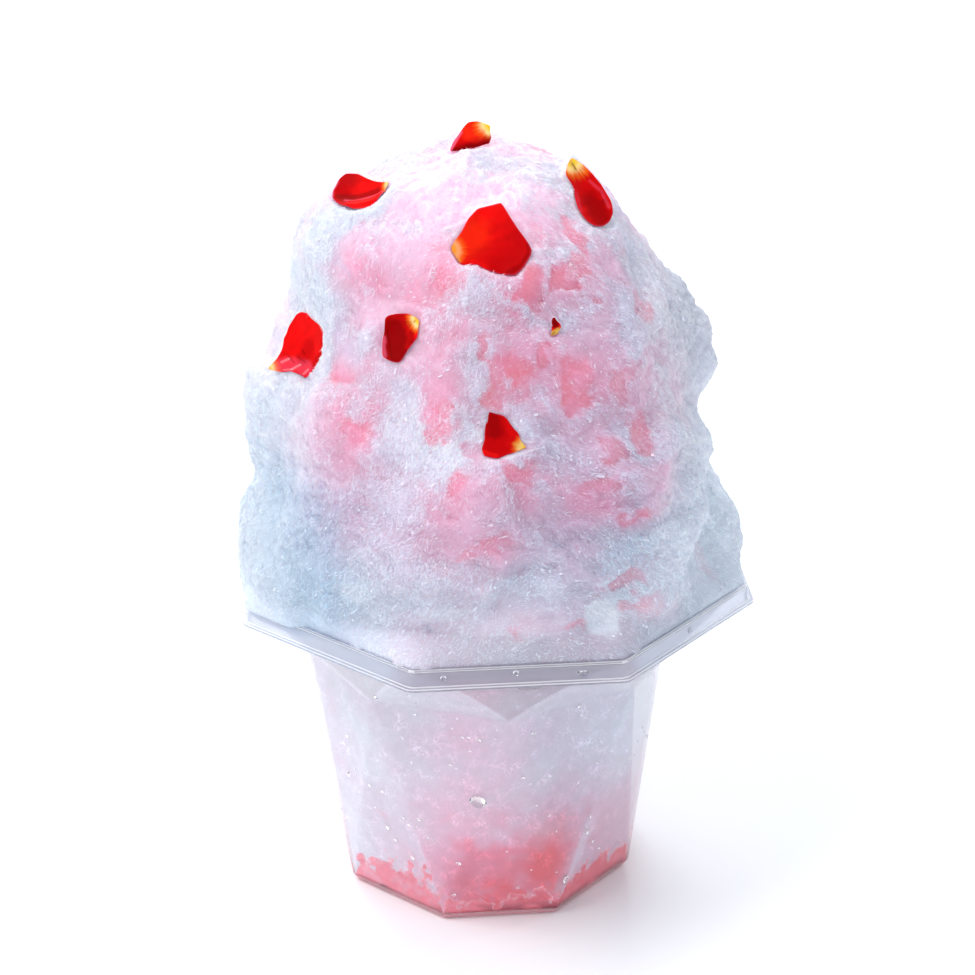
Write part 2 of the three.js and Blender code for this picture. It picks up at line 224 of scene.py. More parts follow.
# %% [markdown]
# ## Camera
# The camera stands back with a long lens, so that the cup's sides hardly draw together. A Track
# To constraint could aim it, but not tip it to one side. So it is placed by a compass angle, a
# height angle, a roll and a distance from the point that it aims at, and these give the three
# axes of its matrix.

# %% Camera
CAMERA_DISTANCE = 0.8
CAMERA_LENS = 124.72
CAMERA_SENSOR = 36
CAMERA_AZIMUTH = np.radians(-6.903)
CAMERA_ELEVATION = np.radians(26.159)
CAMERA_ROLL = np.radians(0.7185)
AIM_ACROSS, AIM_HEIGHT = -0.4212 * MM, 98.938 * MM

camera = bpy.data.objects.new("camera", bpy.data.cameras.new("camera"))
camera.data.lens = CAMERA_LENS
camera.data.sensor_width = CAMERA_SENSOR
across = np.array([np.cos(CAMERA_AZIMUTH), np.sin(CAMERA_AZIMUTH), 0])
back = np.array([
    np.sin(CAMERA_AZIMUTH) * np.cos(CAMERA_ELEVATION),
    -np.cos(CAMERA_AZIMUTH) * np.cos(CAMERA_ELEVATION),
    np.sin(CAMERA_ELEVATION),
])
upward = np.cross(back, across)
turn = np.eye(4)
turn[:3, 0] = across * np.cos(CAMERA_ROLL) + upward * np.sin(CAMERA_ROLL)
turn[:3, 1] = upward * np.cos(CAMERA_ROLL) - across * np.sin(CAMERA_ROLL)
turn[:3, 2] = back
turn[:3, 3] = across * AIM_ACROSS + np.array([0, 0, AIM_HEIGHT]) + back * CAMERA_DISTANCE
camera.matrix_world = Matrix(turn)
bpy.context.scene.collection.objects.link(camera)
bpy.context.scene.camera = camera
print("camera at", [round(c, 3) for c in camera.location])

# %% [markdown]
# ## Shader nodes
# A material is a small network: places on the object go through noises and ranges into the
# sockets of the surface shader. Written in full each node takes several lines, so a small class
# adds a node, feeds its inputs and hands back its output.

# %% Short ways to add nodes


class Nodes:
    """The nodes of one material, with its shader."""

    def __init__(self, material):
        self.tree = material.node_tree
        self.shader = self.tree.nodes["Principled BSDF"]

    @functools.cached_property
    def place(self):
        """The Object coordinates, from a node that is added at the first use."""
        return self.add("ShaderNodeTexCoord").outputs["Object"]

    def feed(self, socket, value):
        """Links another socket to a socket, or sets its value."""
        if isinstance(value, bpy.types.NodeSocket):
            self.tree.links.new(value, socket)
        else:
            socket.default_value = value

    def add(self, kind, inputs=None, **settings):
        """A new node with settings given as attributes and inputs by name or number."""
        node = self.tree.nodes.new(kind)
        for name, value in settings.items():
            setattr(node, name, value)
        for name, value in (inputs or {}).items():
            self.feed(node.inputs[name], value)
        return node

    def surface(self, **values):
        """Feeds sockets of the shader, named with _ for each space."""
        for name, value in values.items():
            self.feed(self.shader.inputs[name.replace("_", " ")], value)

    def noise(self, vector, scale, detail, roughness=0.55):
        """Noise with features about 1 / scale metres wide."""
        inputs = {"Vector": vector, "Scale": scale, "Detail": detail, "Roughness": roughness}
        return self.add("ShaderNodeTexNoise", inputs).outputs["Fac"]

    def math(self, operation, *values):
        """A Math node on one, two or three values."""
        return self.add("ShaderNodeMath", dict(enumerate(values)), operation=operation).outputs[0]

    def add_up(self, first, second):
        """The sum of two values."""
        return self.math("ADD", first, second)

    def times(self, first, second):
        """The product of two values."""
        return self.math("MULTIPLY", first, second)

    def gap(self, value, level):
        """How far a value is from a level, either way."""
        return self.math("ABSOLUTE", self.math("SUBTRACT", value, level))

    def parts(self, vector):
        """The x, y and z of a vector."""
        return self.add("ShaderNodeSeparateXYZ", {0: vector}).outputs[:3]

    def stretched(self, turn, length):
        """Object coordinates along turned axes, so that noise runs along the third of them.

        A Mapping node of the Texture type turns first and then divides by the scale, so a
        feature of the noise is drawn out by length along the turned z axis.
        """
        inputs = {"Vector": self.place, "Rotation": turn, "Scale": (1, 1, length)}
        return self.add("ShaderNodeMapping", inputs, vector_type="TEXTURE").outputs[0]

    def spread(self, value, low, high, to_low=0.0, to_high=1.0):
        """A value mapped from one range to another, held at its ends."""
        inputs = {"Value": value, "From Min": low, "From Max": high, "To Min": to_low, "To Max": to_high}
        return self.add("ShaderNodeMapRange", inputs).outputs["Result"]

    def attribute(self, name, output="Color"):
        """A value stored on the points of the mesh."""
        return self.add("ShaderNodeAttribute", attribute_name=name).outputs[output]

    def mix(self, factor, first, second):
        """A colour between two others."""
        node = self.add("ShaderNodeMix", data_type="RGBA")
        for name, value in (("Factor", factor), ("A", first), ("B", second)):
            self.feed(next(s for s in node.inputs if s.name == name and s.enabled), value)
        return next(s for s in node.outputs if s.enabled)

    def tinted(self, colour, factor):
        """A colour times a factor, as the base colour."""
        scaled = self.add("ShaderNodeVectorMath", {0: colour, "Scale": factor}, operation="SCALE")
        self.surface(Base_Color=scaled.outputs["Vector"])

    def bump(self, height, strength, distance):
        """A bump from a height, with its depth in metres."""
        inputs = {"Strength": strength, "Distance": distance, "Height": height}
        self.surface(Normal=self.add("ShaderNodeBump", inputs).outputs["Normal"])


# %% [markdown]
# ## The cup's planes
# The cup is a stack of eight-sided rings. The ring at the shoulder is turned by half a side, so
# the wall between two rings is sixteen flat triangles. Ice and syrup must fill it exactly. Rays
# could be cast at the finished cup, but a formula is exact and quick: in any direction the wall
# stands where the nearest of those planes is met, in the upper band and in the lower one.

# %% Levels of the cup and the distance to its inner wall
SIDES = np.radians(-90 + 45 * np.arange(8))        # directions of the rim's flat sides
CORNERS = SIDES + np.radians(22.5)                 # directions of its corners
LEAN = np.cos(np.radians(22.5))
CUP_HEIGHT = 83
FOOT_RADIUS = 35.2
BASE_RADIUS, BASE_HEIGHT = 36.8, 2.2
SHOULDER_RADIUS, SHOULDER_HEIGHT = 44, 60
LEDGE_INNER, LEDGE_OUTER = 61.4, 63.4
FLANGE_RADIUS = 65
WALL = 0.8
FLOOR_HEIGHT = 0.9
PANEL_RISE = 1.6
CORE = np.array([0, 0, 100.0])                     # the heap's middle

# Each inner ring: height, distance to its faces toward the sides and toward the corners.
BASE_RING = (BASE_HEIGHT + 0.2, (BASE_RADIUS - 0.9) * LEAN, BASE_RADIUS - 0.9)
SHOULDER_RING = (SHOULDER_HEIGHT + 0.2, SHOULDER_RADIUS - 1, (SHOULDER_RADIUS - 1) * LEAN)
LEDGE_RING = (CUP_HEIGHT, LEDGE_INNER * LEAN, LEDGE_INNER)


def band_reach(compass, polar, lower, upper):
    """Distance from CORE to the sixteen planes between two rings, along a direction.

    A plane's distance from the axis grows evenly with height, d = d0 + k (z - z0), so a ray
    meets it at r = (d0 + k (core - z0)) / (sin p cos(c - side) - k cos p). The nearest counts.
    """
    rise = upper[0] - lower[0]
    nearest = np.full(np.shape(compass), np.inf)
    for faced, kind in ((SIDES, 1), (CORNERS, 2)):
        slope = (upper[kind] - lower[kind]) / rise
        ahead = lower[kind] + slope * (CORE[2] - lower[0])
        for side in faced:
            toward = np.sin(polar) * np.cos(compass - side) - slope * np.cos(polar)
            reach = np.where(toward > 1e-3, ahead / np.maximum(toward, 1e-3), np.inf)
            nearest = np.minimum(nearest, reach)
    return nearest


def wall_reach(compass, polar):
    """Distance from CORE to the inside of the cup: its upper band, lower band or floor."""
    high = band_reach(compass, polar, SHOULDER_RING, LEDGE_RING)
    low = band_reach(compass, polar, BASE_RING, SHOULDER_RING)
    down = np.maximum(-np.cos(polar), 1e-3)
    low = np.minimum(low, (CORE[2] - FLOOR_HEIGHT) / down)
    return np.where(CORE[2] + high * np.cos(polar) >= SHOULDER_RING[0], high, low)


reaches = wall_reach(np.append(SIDES[0], CORNERS[0]), np.full(2, np.radians(120)))
print("inner wall from the heap's middle, 30 degrees down:", reaches.round(1), "mm")


# %% [markdown]
# ## The heap's form
# The heap is a tall mound that bulges over the rim. The frame's ice gives its form as a coarse
# solid. A Subdivision Surface modifier would round that, but would shrink it too. Instead the
# heap is read as a radius in every direction from its middle: each direction takes the average of
# the solid's points near it, weighted by how close they are. That keeps the solid's form and
# smooths its flat faces away.

# %% Radius of the heap in every direction
HEAP_BOTTOM = 83.6
BLUR = np.radians(2.0)
MAP_COLUMNS, MAP_ROWS, MAP_END = 200, 120, np.radians(112)


def solid_points(node):
    """The corner points of a node of the frame, in millimetres, without repeats."""
    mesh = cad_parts[node].data
    points = np.empty(len(mesh.vertices) * 3, np.float32)
    mesh.vertices.foreach_get("co", points)
    return np.unique((points.reshape(-1, 3) / MM).round(2), axis=0).astype(float)


def directions(compass, polar):
    """Unit vectors from a compass angle and a polar angle, both in radians."""
    flat = np.sin(polar)
    return np.stack([flat * np.cos(compass), flat * np.sin(compass), np.cos(polar)], -1)


def heap_map():
    """A grid of radii: rows of polar angle, columns of compass angle."""
    points = solid_points("ice")
    points = points[points[:, 2] > HEAP_BOTTOM]
    arrows = points - CORE
    radii = np.linalg.norm(arrows, axis=1)
    arrows /= radii[:, None]
    polar, compass = np.meshgrid(
        np.linspace(0, MAP_END, MAP_ROWS),
        np.linspace(0, 2 * np.pi, MAP_COLUMNS, endpoint=False),
        indexing="ij",
    )
    closeness = directions(compass, polar).reshape(-1, 3) @ arrows.T
    weights = np.exp((closeness - 1) / BLUR ** 2) + 1e-30
    smooth = (weights @ radii) / weights.sum(1)
    return smooth.reshape(MAP_ROWS, MAP_COLUMNS)


HEAP_MAP = heap_map()
print(f"heap radii from {HEAP_MAP.min():.1f} to {HEAP_MAP.max():.1f} mm")


def heap_reach(compass, polar):
    """The heap's radius along any directions, read between the map's grid points."""
    column = (compass / (2 * np.pi)) % 1 * MAP_COLUMNS
    row = np.clip(polar / MAP_END, 0, 1) * (MAP_ROWS - 1.001)
    left, above = np.floor(column).astype(int) % MAP_COLUMNS, np.floor(row).astype(int)
    beside, below = (left + 1) % MAP_COLUMNS, above + 1
    x, y = column - np.floor(column), row - above
    upper = HEAP_MAP[above, left] * (1 - x) + HEAP_MAP[above, beside] * x
    lower = HEAP_MAP[below, left] * (1 - x) + HEAP_MAP[below, beside] * x
    return upper * (1 - y) + lower * y


# %% [markdown]
# ## Petals
# A petal is a thin curved leaf. Cloth simulation could drape one, and sculpting could fold it,
# but eight small leaves that must lie flush on the ice are easier to place by a table: where each
# one lies, where it faces, how it curls, and the listed corners of its outline. The same table
# tells the ice where it is pressed flat under a petal.

# %% Petal places, outlines and curls
PETAL_THICKNESS = 0.4
# at: the middle in mm; facing: compass and tilt of the upper face in degrees; curl: see below
# claw: where the yellow starts, and how far it reaches; marks: colour, half width, strength and
# a line for each area of painted shade, painted light or the petal's own colour; folds: height,
# half width and a line for each raised lip
PETALS = {
    "petal_top": dict(
        at=(-5, 4.4, 185.3), facing=(-97, 42), curl=(0.02, 0.05), claw=(5.4, 3.0, 4.0), clearance=1.5,
        marks=[
            ("orange", 2.4, 0.6, (-0.5, 2.4), (1.4, 0.4)),
            ("deep", 2.2, 0.8, (-3.6, -3.8), (-0.4, -2.4), (1.6, -2.0), (4.6, -1.4)),
            ("dark", 1.3, 1, (-3.6, -3.8), (-0.4, -2.7), (1.6, -2.3), (4.4, -1.7)),
            ("rosy", 0.5, 0.9, (-4.2, -3.2), (-3, -0.6), (-2, 1.2)),
        ],
        outline=[
            (-4.6, -4), (1.3, -2.6), (3.6, -1.6), (4.5, -1.5), (5, 0), (4.6, 1.5), (4.8, 2.7), (2.2, 3.8),
            (-0.3, 3.7), (-1.4, 2.6), (-2.6, 0.6), (-3.8, -1.4),
        ],
    ),
    "petal_left_top": dict(
        at=(-30.9, -3.3, 176.0), facing=(-134, 55), curl=(0.03, 0.05), claw=(8.6, 3.2, 2.4), sunk=-1.2,
        clearance=2.4,
        marks=[
            ("deep", 4.2, 0.85, (-2.7, -3.7), (-4.9, -1.6), (-4.7, 1.3)),
            ("dark", 1.2, 0.7, (-3, -3), (-0.4, -2.3), (2.5, -0.6), (5.2, 1)),
            ("bright", 1.2, 0.9, (2.4, -3.4), (5.2, -1.8), (7.6, -0.4)),
            ("rosy", 0.35, 0.6, (-1.2, -3.4), (0.8, -2.9), (3.5, -1.1), (7.4, 0.7)),
            ("rosy", 0.3, 0.4, (-5.7, 0.4), (-5.5, -2), (-4.4, -3.6)),
        ],
        folds=[(0.7, 1.4, (1, -4.2), (4.6, -2.4), (7.6, -0.6))],
        outline=[
            (-6, 1.1), (-5.6, -2.1), (-4.4, -4), (-1.5, -5.2), (2.5, -5.3), (5.4, -4.8), (7.7, -2.2),
            (8.2, 0.1), (7.6, 2), (7.8, 3.4), (5.2, 3.3), (1.5, 3.5), (-2.4, 4.1), (-5.1, 3),
        ],
    ),
    "petal_right_top": dict(
        at=(20.4, -8, 175.9), facing=(-64, 49), curl=(0.06, 0.01), claw=(-1, 9.2, 5.2),
        marks=[
            ("deep", 5.5, 0.7, (-0.6, 0.4), (-0.4, -3.4), (-0.2, -7.4)),
            ("dark", 3.4, 0.6, (0.2, -2.6), (0.3, -4), (0, -6.6)),
            ("rosy", 0.45, 0.22, (1.8, 2.6), (3.2, -0.8), (3.1, -5)),
            ("rosy", 0.6, 0.15, (-3, 0.4), (-4.6, -4.6)), ("ochre", 0.6, 0.8, (-0.9, 8.2), (-0.6, 6)),
            ("dark", 0.22, 0.7, (-0.7, 7.4), (-0.4, 6)),
        ],
        outline=[
            (-0.2, 9), (-1.6, 8), (-3.2, 6.2), (-4, 5), (-3.1, 3), (-3, 1.6), (-4, -0.3), (-5.2, -4),
            (-4.8, -7), (-2.9, -8.9), (-0.6, -9.2), (1.7, -8.4), (3.3, -6.7), (4.3, -3.6), (3.9, 1),
            (2.9, 4.6), (1.7, 7), (0.6, 8.3),
        ],
    ),
    "petal_large": dict(
        at=(-4.1, -26.7, 171.6), facing=(-95, 39), curl=(0.012, 0.004), claw=(-8.8, -1.3, 3.6),
        marks=[
            ("orange", 4.5, 0.5, (-6, 0), (-3.4, 2.4)), ("deep", 8.5, 0.7, (10, 3), (8.4, -2.5), (5, -7)),
            ("deep", 3.5, 0.35, (9, 1), (8.4, -2.5), (6.6, -5), (2, -6.2)),
            ("dark", 0.8, 0.5, (8.9, 0), (9, -2), (7.4, -4.8), (4.4, -6.4)),
            ("deep", 0.9, 0.14, (-4.6, -3.2), (1.5, 0.4), (6, 2.5)),
            ("ochre", 0.6, 0.6, (-7.8, -2.4), (-6.6, -3.8)),
        ],
        outline=[
            (2.6, 9.7), (0.8, 9.2), (-2.3, 8.4), (-3.4, 7.2), (-4.6, 5.8), (-5.9, 3), (-7.7, 0.6),
            (-8.2, -0.4), (-8.2, -1.5), (-6.7, -4), (-5.8, -4.7), (-2.5, -4.4), (-1.1, -5.5), (3.1, -6.8),
            (5.4, -7), (6.1, -6.8), (7.6, -5.4), (9.3, -2.6), (9.5, -1.4), (9, -0.2), (8.2, 1.2),
            (6.3, 3.9), (3.4, 8.9), (2.9, 9.6),
        ],
    ),
    "petal_left_edge": dict(
        at=(-44.6, -11.6, 142.5), facing=(-136, 11), curl=(0.02, 0.01), claw=(-8.4, -8, 3.6), sunk=-1.8,
        marks=[
            ("deep", 2.2, 0.55, (2.4, 0.6), (1.2, -3)),
            ("deep", 1.2, 0.6, (7.6, 4), (7.2, 0), (4.6, -3.6)),
            ("pale", 0.6, 0.4, (5.4, 6.9), (7.6, 4.8), (8, 2.4)),
            ("rosy", 2.2, 0.35, (-4.6, -6), (-1, -4.8), (3, -4.6)),
            ("pale", 0.3, 0.35, (-4.8, -5.2), (-2.9, -3.9)),
            ("pale", 0.22, 0.45, (-1.9, -6.2), (0.6, -4.3)),
            ("pale", 0.2, 0.3, (-3.9, -6.8), (-1.2, -5.9)), ("pale", 0.25, 0.35, (1.9, -6.2), (3.2, -4.7)),
            ("dark", 0.3, 0.4, (-3.7, -3), (-1.3, -4.3)), ("dark", 0.25, 0.4, (-0.6, -2.7), (1.8, -3.4)),
            ("dark", 0.3, 0.5, (0.4, -0.8), (1.4, -1.6)),
        ],
        outline=[
            (-8, -7.6), (-4.3, -7.5), (-2, -6.6), (0.6, -6.6), (2.7, -7), (3.9, -5.7), (7.2, -1.4),
            (8.8, 1.6), (8.8, 4.9), (6.6, 7.2), (3, 8), (-0.8, 7.9), (-2.3, 6.8), (-4.1, 3.7), (-4.6, 1.7),
            (-5.2, 0.3), (-5.3, -2.4), (-6.2, -4.9),
        ],
    ),
    "petal_mid_left": dict(
        at=(-24.7, -35.4, 154.1), facing=(-118, 31), curl=(0.04, 0.01), claw=(4.4, 4.8, 3.0),
        marks=[
            ("dark", 4.6, 0.92, (-1.4, 1.4), (-0.4, -1.4), (0.5, -4.6)),
            ("dark", 2.0, 0.8, (-1, 1.4), (0.2, -1.4), (0.9, -4.2)),
            ("deep", 3.2, 0.3, (-1.4, 0.8), (0.6, -4.4)),
            ("rosy", 0.7, 0.55, (-3.3, -0.6), (-3, -2.4), (-2.3, -4.6)),
            ("dark", 0.25, 0.8, (-2.9, 1.1), (-1.6, -2), (-0.4, -5.2)),
            ("dark", 0.2, 0.6, (3.2, 4.2), (3, 3.8)),
        ],
        outline=[
            (-3.4, 4.3), (-3.9, 3.5), (-3.5, 0.8), (-3.5, -1.3), (-2.8, -5), (0.1, -5.7), (1.6, -5.5),
            (2.8, -2.1), (4.6, 0.7), (4.3, 2.7), (4.3, 4.2), (3, 5), (1.1, 5.5), (-1.5, 5.1),
        ],
    ),
    "petal_scrap": dict(
        at=(9.7, -37.1, 155.9), facing=(-88, 32), curl=(0.05, 0.02), claw=(-0.9, -2.6, 0.5),
        marks=[
            ("dark", 1.0, 1, (-0.3, 1.8), (0.1, 0.6)), ("ochre", 0.75, 1, (-1, -1.5), (0.6, -0.8)),
            ("dark", 0.2, 0.6, (-0.9, -1.6), (-0.3, -1.1)),
        ],
        outline=[
            (-0.5, 2.2), (-0.8, 1.2), (-0.6, 0.4), (-0.9, 0.1), (-0.9, -1.1), (-1.2, -1.4), (-1.1, -1.9),
            (-0.4, -1.8), (0.4, -1.4), (1.3, 0), (1.1, 0.8), (0.3, 1.6), (0.1, 2.2),
        ],
    ),
    "petal_low": dict(
        at=(-3.4, -45.4, 134.5), facing=(-95, 26), curl=(0.03, 0.01), claw=(6.4, -3.2, 3.2),
        marks=[
            ("deep", 5.6, 0.75, (-2, 3), (-1.2, 0.4), (-1, -1.6)),
            ("dark", 2.4, 0.6, (-1.6, 3.4), (-1, 0.8)), ("ochre", 1.0, 0.5, (5.2, -2.8), (3.9, -2.4)),
            ("bright", 0.6, 0.7, (-3.4, -4), (-1, -5)),
        ],
        outline=[
            (-2.6, 2.7), (-3.1, 2), (-3.3, 0.4), (-3.3, -1.4), (-4, -3.4), (-3.5, -4.8), (-2.4, -5.2),
            (-0.4, -5.5), (1.7, -4.6), (3, -4.3), (5.9, -3.1), (5.4, -2.4), (4.6, -1.4), (4.2, 0),
            (2.8, 1.5), (1.7, 3.3), (0.8, 4), (-0.8, 4.4), (-2.4, 4.9),
        ],
    ),
}

# %% [markdown]
# ### Form of a petal
# A rose petal is cupped, with a soft outline and here and there a folded lip. Each petal has its
# own flat frame: x across it, y up it and z out of its upper face. In that frame its outline is
# softened and its sheet curls as a paraboloid. A Simple Deform modifier could bend it, but then
# the ice couldn't read the same curl, and it is pressed flat behind the petal by it.

# %% Frame, outline and curl
CORNER_CUTS = (0.16, 0.25, 0.25)


def soft_outline(corners, cuts=3):
    """A closed outline whose corners are cut off again and again, first by a small share.

    Each side from a to b becomes the points a + share (b - a) and b - share (b - a).
    """
    points = np.array(corners, float)
    for share in CORNER_CUTS[:cuts]:
        after = np.roll(points, -1, axis=0)
        points = np.stack([points * (1 - share) + after * share, points * share + after * (1 - share)], 1)
        points = points.reshape(-1, 2)
    return points


def petal_axes(petal):
    """Rows across, up and out of the petal's upper face, and the point at its middle."""
    compass, tilt = np.radians(petal["facing"])
    out = directions(compass, np.pi / 2 - tilt)
    across = np.cross([0, 0, 1], out)
    across /= np.linalg.norm(across)
    return np.stack([across, np.cross(out, across), out]), np.array(petal["at"], float)


def petal_height(petal, x, y):
    """How far the petal's middle sheet stands out of its flat frame: a x ** 2 + b y ** 2."""
    return petal["curl"][0] * x ** 2 + petal["curl"][1] * y ** 2


def stroke(spots, half_width, line):
    """1 on a line through some flat points, falling to 0 at 1.25 of its half width from it."""
    corners = np.array(line, float)
    start, along = corners[:-1], np.diff(corners, axis=0)
    gap = spots[..., None, :] - start
    share = np.clip((gap * along).sum(-1) / (along ** 2).sum(-1), 0, 1)
    away = np.linalg.norm(gap - share[..., None] * along, axis=-1).min(-1)
    return 1 - ramp(away, half_width * 0.35, half_width * 1.25)


for node, petal in PETALS.items():
    size = np.ptp(soft_outline(petal["outline"]), axis=0)
    print(f"{node}: {size[0]:.1f} x {size[1]:.1f} mm, facing {petal['facing']}")


# %% [markdown]
# ### Colour of a petal
# A petal is yellow at its claw, where it was attached. From there the yellow breaks up into
# streaks that fan out, through cream and orange, into red. It could be painted on an image, but
# an image needs a UV map and a file. So each point gets its colour from its place in the petal's
# frame. Then soft strokes add the darker places where a petal turns away and the paler ones
# where it catches light.

# %% Colours of a petal
YELLOW = np.array([0.88, 0.55, 0.03])
CREAM = np.array([0.95, 0.66, 0.26])
ORANGE = np.array([0.86, 0.15, 0.01])
BRIGHT_RED = np.array([0.76, 0.004, 0.004])
# dark and deep: the petal's darker red with painted shade where it turns away; bright, rosy and pale: painted
# light and sheen; orange and ochre: its own colour
MARK_COLOURS = {name: np.array(colour) for name, colour in dict(
    bright=(0.80, 0.005, 0.005), orange=(0.88, 0.028, 0.004), deep=(0.42, 0.0005, 0.002),
    dark=(0.20, 0.0003, 0.001), rosy=(0.80, 0.10, 0.18), pale=(0.90, 0.48, 0.52), ochre=(0.58, 0.36, 0.07),
).items()}
EDGE_START, EDGE_SHEEN = 0.95, 0.3                   # a rosy painted sheen along the edge, from this share of the outline


def blend(colours, other, share):
    """Colours moved toward another colour by a share for each point."""
    return colours * (1 - share[..., None]) + other * share[..., None]


def petal_colours(petal, local, shares):
    """Yellow at the claw, then cream, orange and red in streaks that fan out, and the marks.

    The distance from the claw, divided by the claw's reach, picks the colour. Noise along the
    angle round the claw shifts it, which makes the streaks.
    """
    x, y = local[:, 0], local[:, 1]
    claw_x, claw_y, reach = petal["claw"]
    from_claw = np.hypot(x - claw_x, y - claw_y)
    angle = np.arctan2(y - claw_y, x - claw_x)
    streaks = np.stack([angle * 9, from_claw * 0.12, np.full(len(x), 1.0)], -1)
    away = from_claw / reach + noise(streaks, 1, 81) * 0.16 * ramp(from_claw, 0, reach)
    red = BRIGHT_RED * (1 + noise(streaks, 1.2, 83) * 0.15 + noise(local, 2, 84) * 0.06)[:, None]
    warm = blend(np.tile(YELLOW, (len(x), 1)), CREAM, ramp(away, 0.35, 0.6))
    warm = blend(warm, ORANGE, ramp(away, 0.6, 0.95))
    colours = blend(warm, red, ramp(away, 0.85, 1.25))
    for name, half_width, strength, *line in petal["marks"]:
        wavy = local[:, :2] + noise(local, 1.6, 85)[:, None] * half_width * 0.25
        colours = blend(colours, MARK_COLOURS[name], stroke(wavy, half_width, line) * strength)
    # painted sheen: a rosy edge round every petal, past EDGE_START of its outline
    return blend(colours, MARK_COLOURS["rosy"], ramp(shares, EDGE_START, 1.0) * EDGE_SHEEN)


# %% Petal material and pieces
PETAL_RINGS = 33
RING_CROWDING, EDGE_FALL = 1.5, 12                 # rings lie closer at the edge, where it thins
RIPPLE, RIPPLE_SIZE = 0.25, 4                      # mm


def petal_material():
    """Velvety and a little translucent, coloured by the tint attribute, with a fine vein bump."""
    material = plain_material("petal_velvet", (0.7, 0.01, 0.02, 1), 0.42)
    n = Nodes(material)
    n.surface(Base_Color=n.attribute("tint"), Specular_IOR_Level=0.02, Subsurface_Weight=0.1,
              Subsurface_Radius=(1.0, 0.1, 0.05), Subsurface_Scale=0.0006)
    n.bump(n.noise(n.place, 700, 3, 0.5), 0.3, 0.0002)
    return material


def petal_piece(node, petal, material):
    """A thin closed leaf: rings of the outline scaled toward the middle, on two sides.

    At the share s of the outline the half thickness is its most times sqrt(1 - s ** 12), so the
    leaf stays even and closes with a round edge. Curl, folds and a slight ripple lift the sheet.
    """
    edge = soft_outline(petal["outline"])
    axes, middle = petal_axes(petal)
    shares = 1 - (1 - np.linspace(0, 1, PETAL_RINGS)[1:]) ** RING_CROWDING
    half = PETAL_THICKNESS / 2 * np.sqrt(np.clip(1 - shares ** EDGE_FALL, 0, 1))
    flat = shares[:, None, None] * edge[None]
    bend = petal_height(petal, flat[..., 0], flat[..., 1])
    ripple = noise(np.dstack([flat, np.zeros(flat.shape[:2])]), RIPPLE_SIZE, 3)
    bend = bend + RIPPLE * ripple * shares[:, None]
    for height, half_width, *line in petal.get("folds", []):
        bend = bend + height * stroke(flat, half_width, line)
    front = np.dstack([flat, bend + half[:, None]])
    behind = np.dstack([flat, bend - half[:, None]])[::-1][1:]
    rows = np.concatenate([front, behind])
    tip = [[0, 0, PETAL_THICKNESS / 2]]
    local = np.concatenate([tip, rows.reshape(-1, 3), -np.array(tip)])
    all_shares = np.repeat(np.concatenate([shares, shares[::-1][1:]]), len(edge))
    all_shares = np.concatenate([[0], all_shares, [0]])
    piece = mesh_piece("rose_" + node, local @ axes + middle, closed_rows(len(rows), len(edge)))
    point_colours(piece, "tint", petal_colours(petal, local, all_shares))
    return finish_piece(piece, material, "petal", node)


petal_red = petal_material()
for node, petal in PETALS.items():
    petal_piece(node, petal, petal_red)

# %% [markdown]
# ## Areas on the heap
# Where a flake has slipped or broken off, the heap shows a smooth pocket soaked with syrup.
# Around them lie wide areas where syrup glows through, where frost lies thick or where the ice is
# clean. The large ones are placed on the front, as compass and polar angles from the
# heap's middle, and a seeded draw adds more on the other sides. Weights painted by hand would do
# too, but a table can be read, moved and used by both the form and the colours.

# %% Places of the areas
# compass, polar, half width and half height in mm, strength
POCKETS = [
    (-83.7, 28.0, 4.2, 4.2, 1.0), (-68.0, 26.7, 3.4, 1.8, 1.0), (-52, 20.5, 1.8, 4.5, 0.8),
    (-88, 39.5, 2.6, 3.2, 0.9), (-60, 25, 3, 2.2, 0.6), (-72.5, 19.3, 4.0, 4.0, 0.35),
    (-90, 41, 5.0, 2.6, 0.9), (-74, 42.5, 2.4, 5.0, 0.9), (-118.0, 26.2, 8.0, 6.0, 0.4),
    (-148.4, 40.0, 1.8, 3.0, 0.8), (-100.9, 38.0, 1.3, 3.4, 0.75), (-96.9, 41.3, 1.6, 1.3, 0.7),
    (-81.7, 38.9, 1.6, 1.3, 0.9), (-72.8, 42.9, 4.2, 4.8, 0.75), (-58.2, 31.2, 1.6, 1.2, 0.6),
    (-35.8, 35.2, 4.2, 3.4, 0.5), (-86.6, 41.9, 3.4, 2.8, 0.55), (-55.3, 46.8, 4.0, 3.6, 0.6),
    (-95.0, 44.4, 2.8, 4.2, 0.8), (-152.8, 32.3, 2.2, 1.6, 0.6), (-144, 45.5, 4.6, 5.5, 0.9),
    (-71.9, 46.9, 4.0, 2.2, 1.0), (-54.0, 58.3, 3.0, 4.4, 0.75), (-64.7, 60.5, 4.0, 2.0, 0.7),
    (-89.2, 61.5, 4.2, 3.2, 0.7), (-68.9, 67.8, 6.4, 1.8, 0.7), (-61.9, 75.2, 5.6, 1.4, 0.85),
    (-95.2, 78.4, 4.4, 3.6, 0.5), (-101.9, 81.6, 1.8, 1.3, 0.5), (-63.6, 91.4, 5.6, 1.8, 0.6),
    (-57.6, 97.9, 4.0, 3.6, 0.3), (-28.6, 99.8, 3.0, 3.0, 0.35), (-89.8, 100.2, 1.9, 1.2, 0.4),
    (-76, 101, 2.6, 1.4, 0.6), (-60.5, 96.5, 6, 1.3, 0.6), (-104.0, 63.4, 2.6, 3.8, 0.6),
    (-109.7, 52.3, 3.0, 4.8, 0.6), (-132.3, 58.3, 2.8, 3.2, 0.6),
]
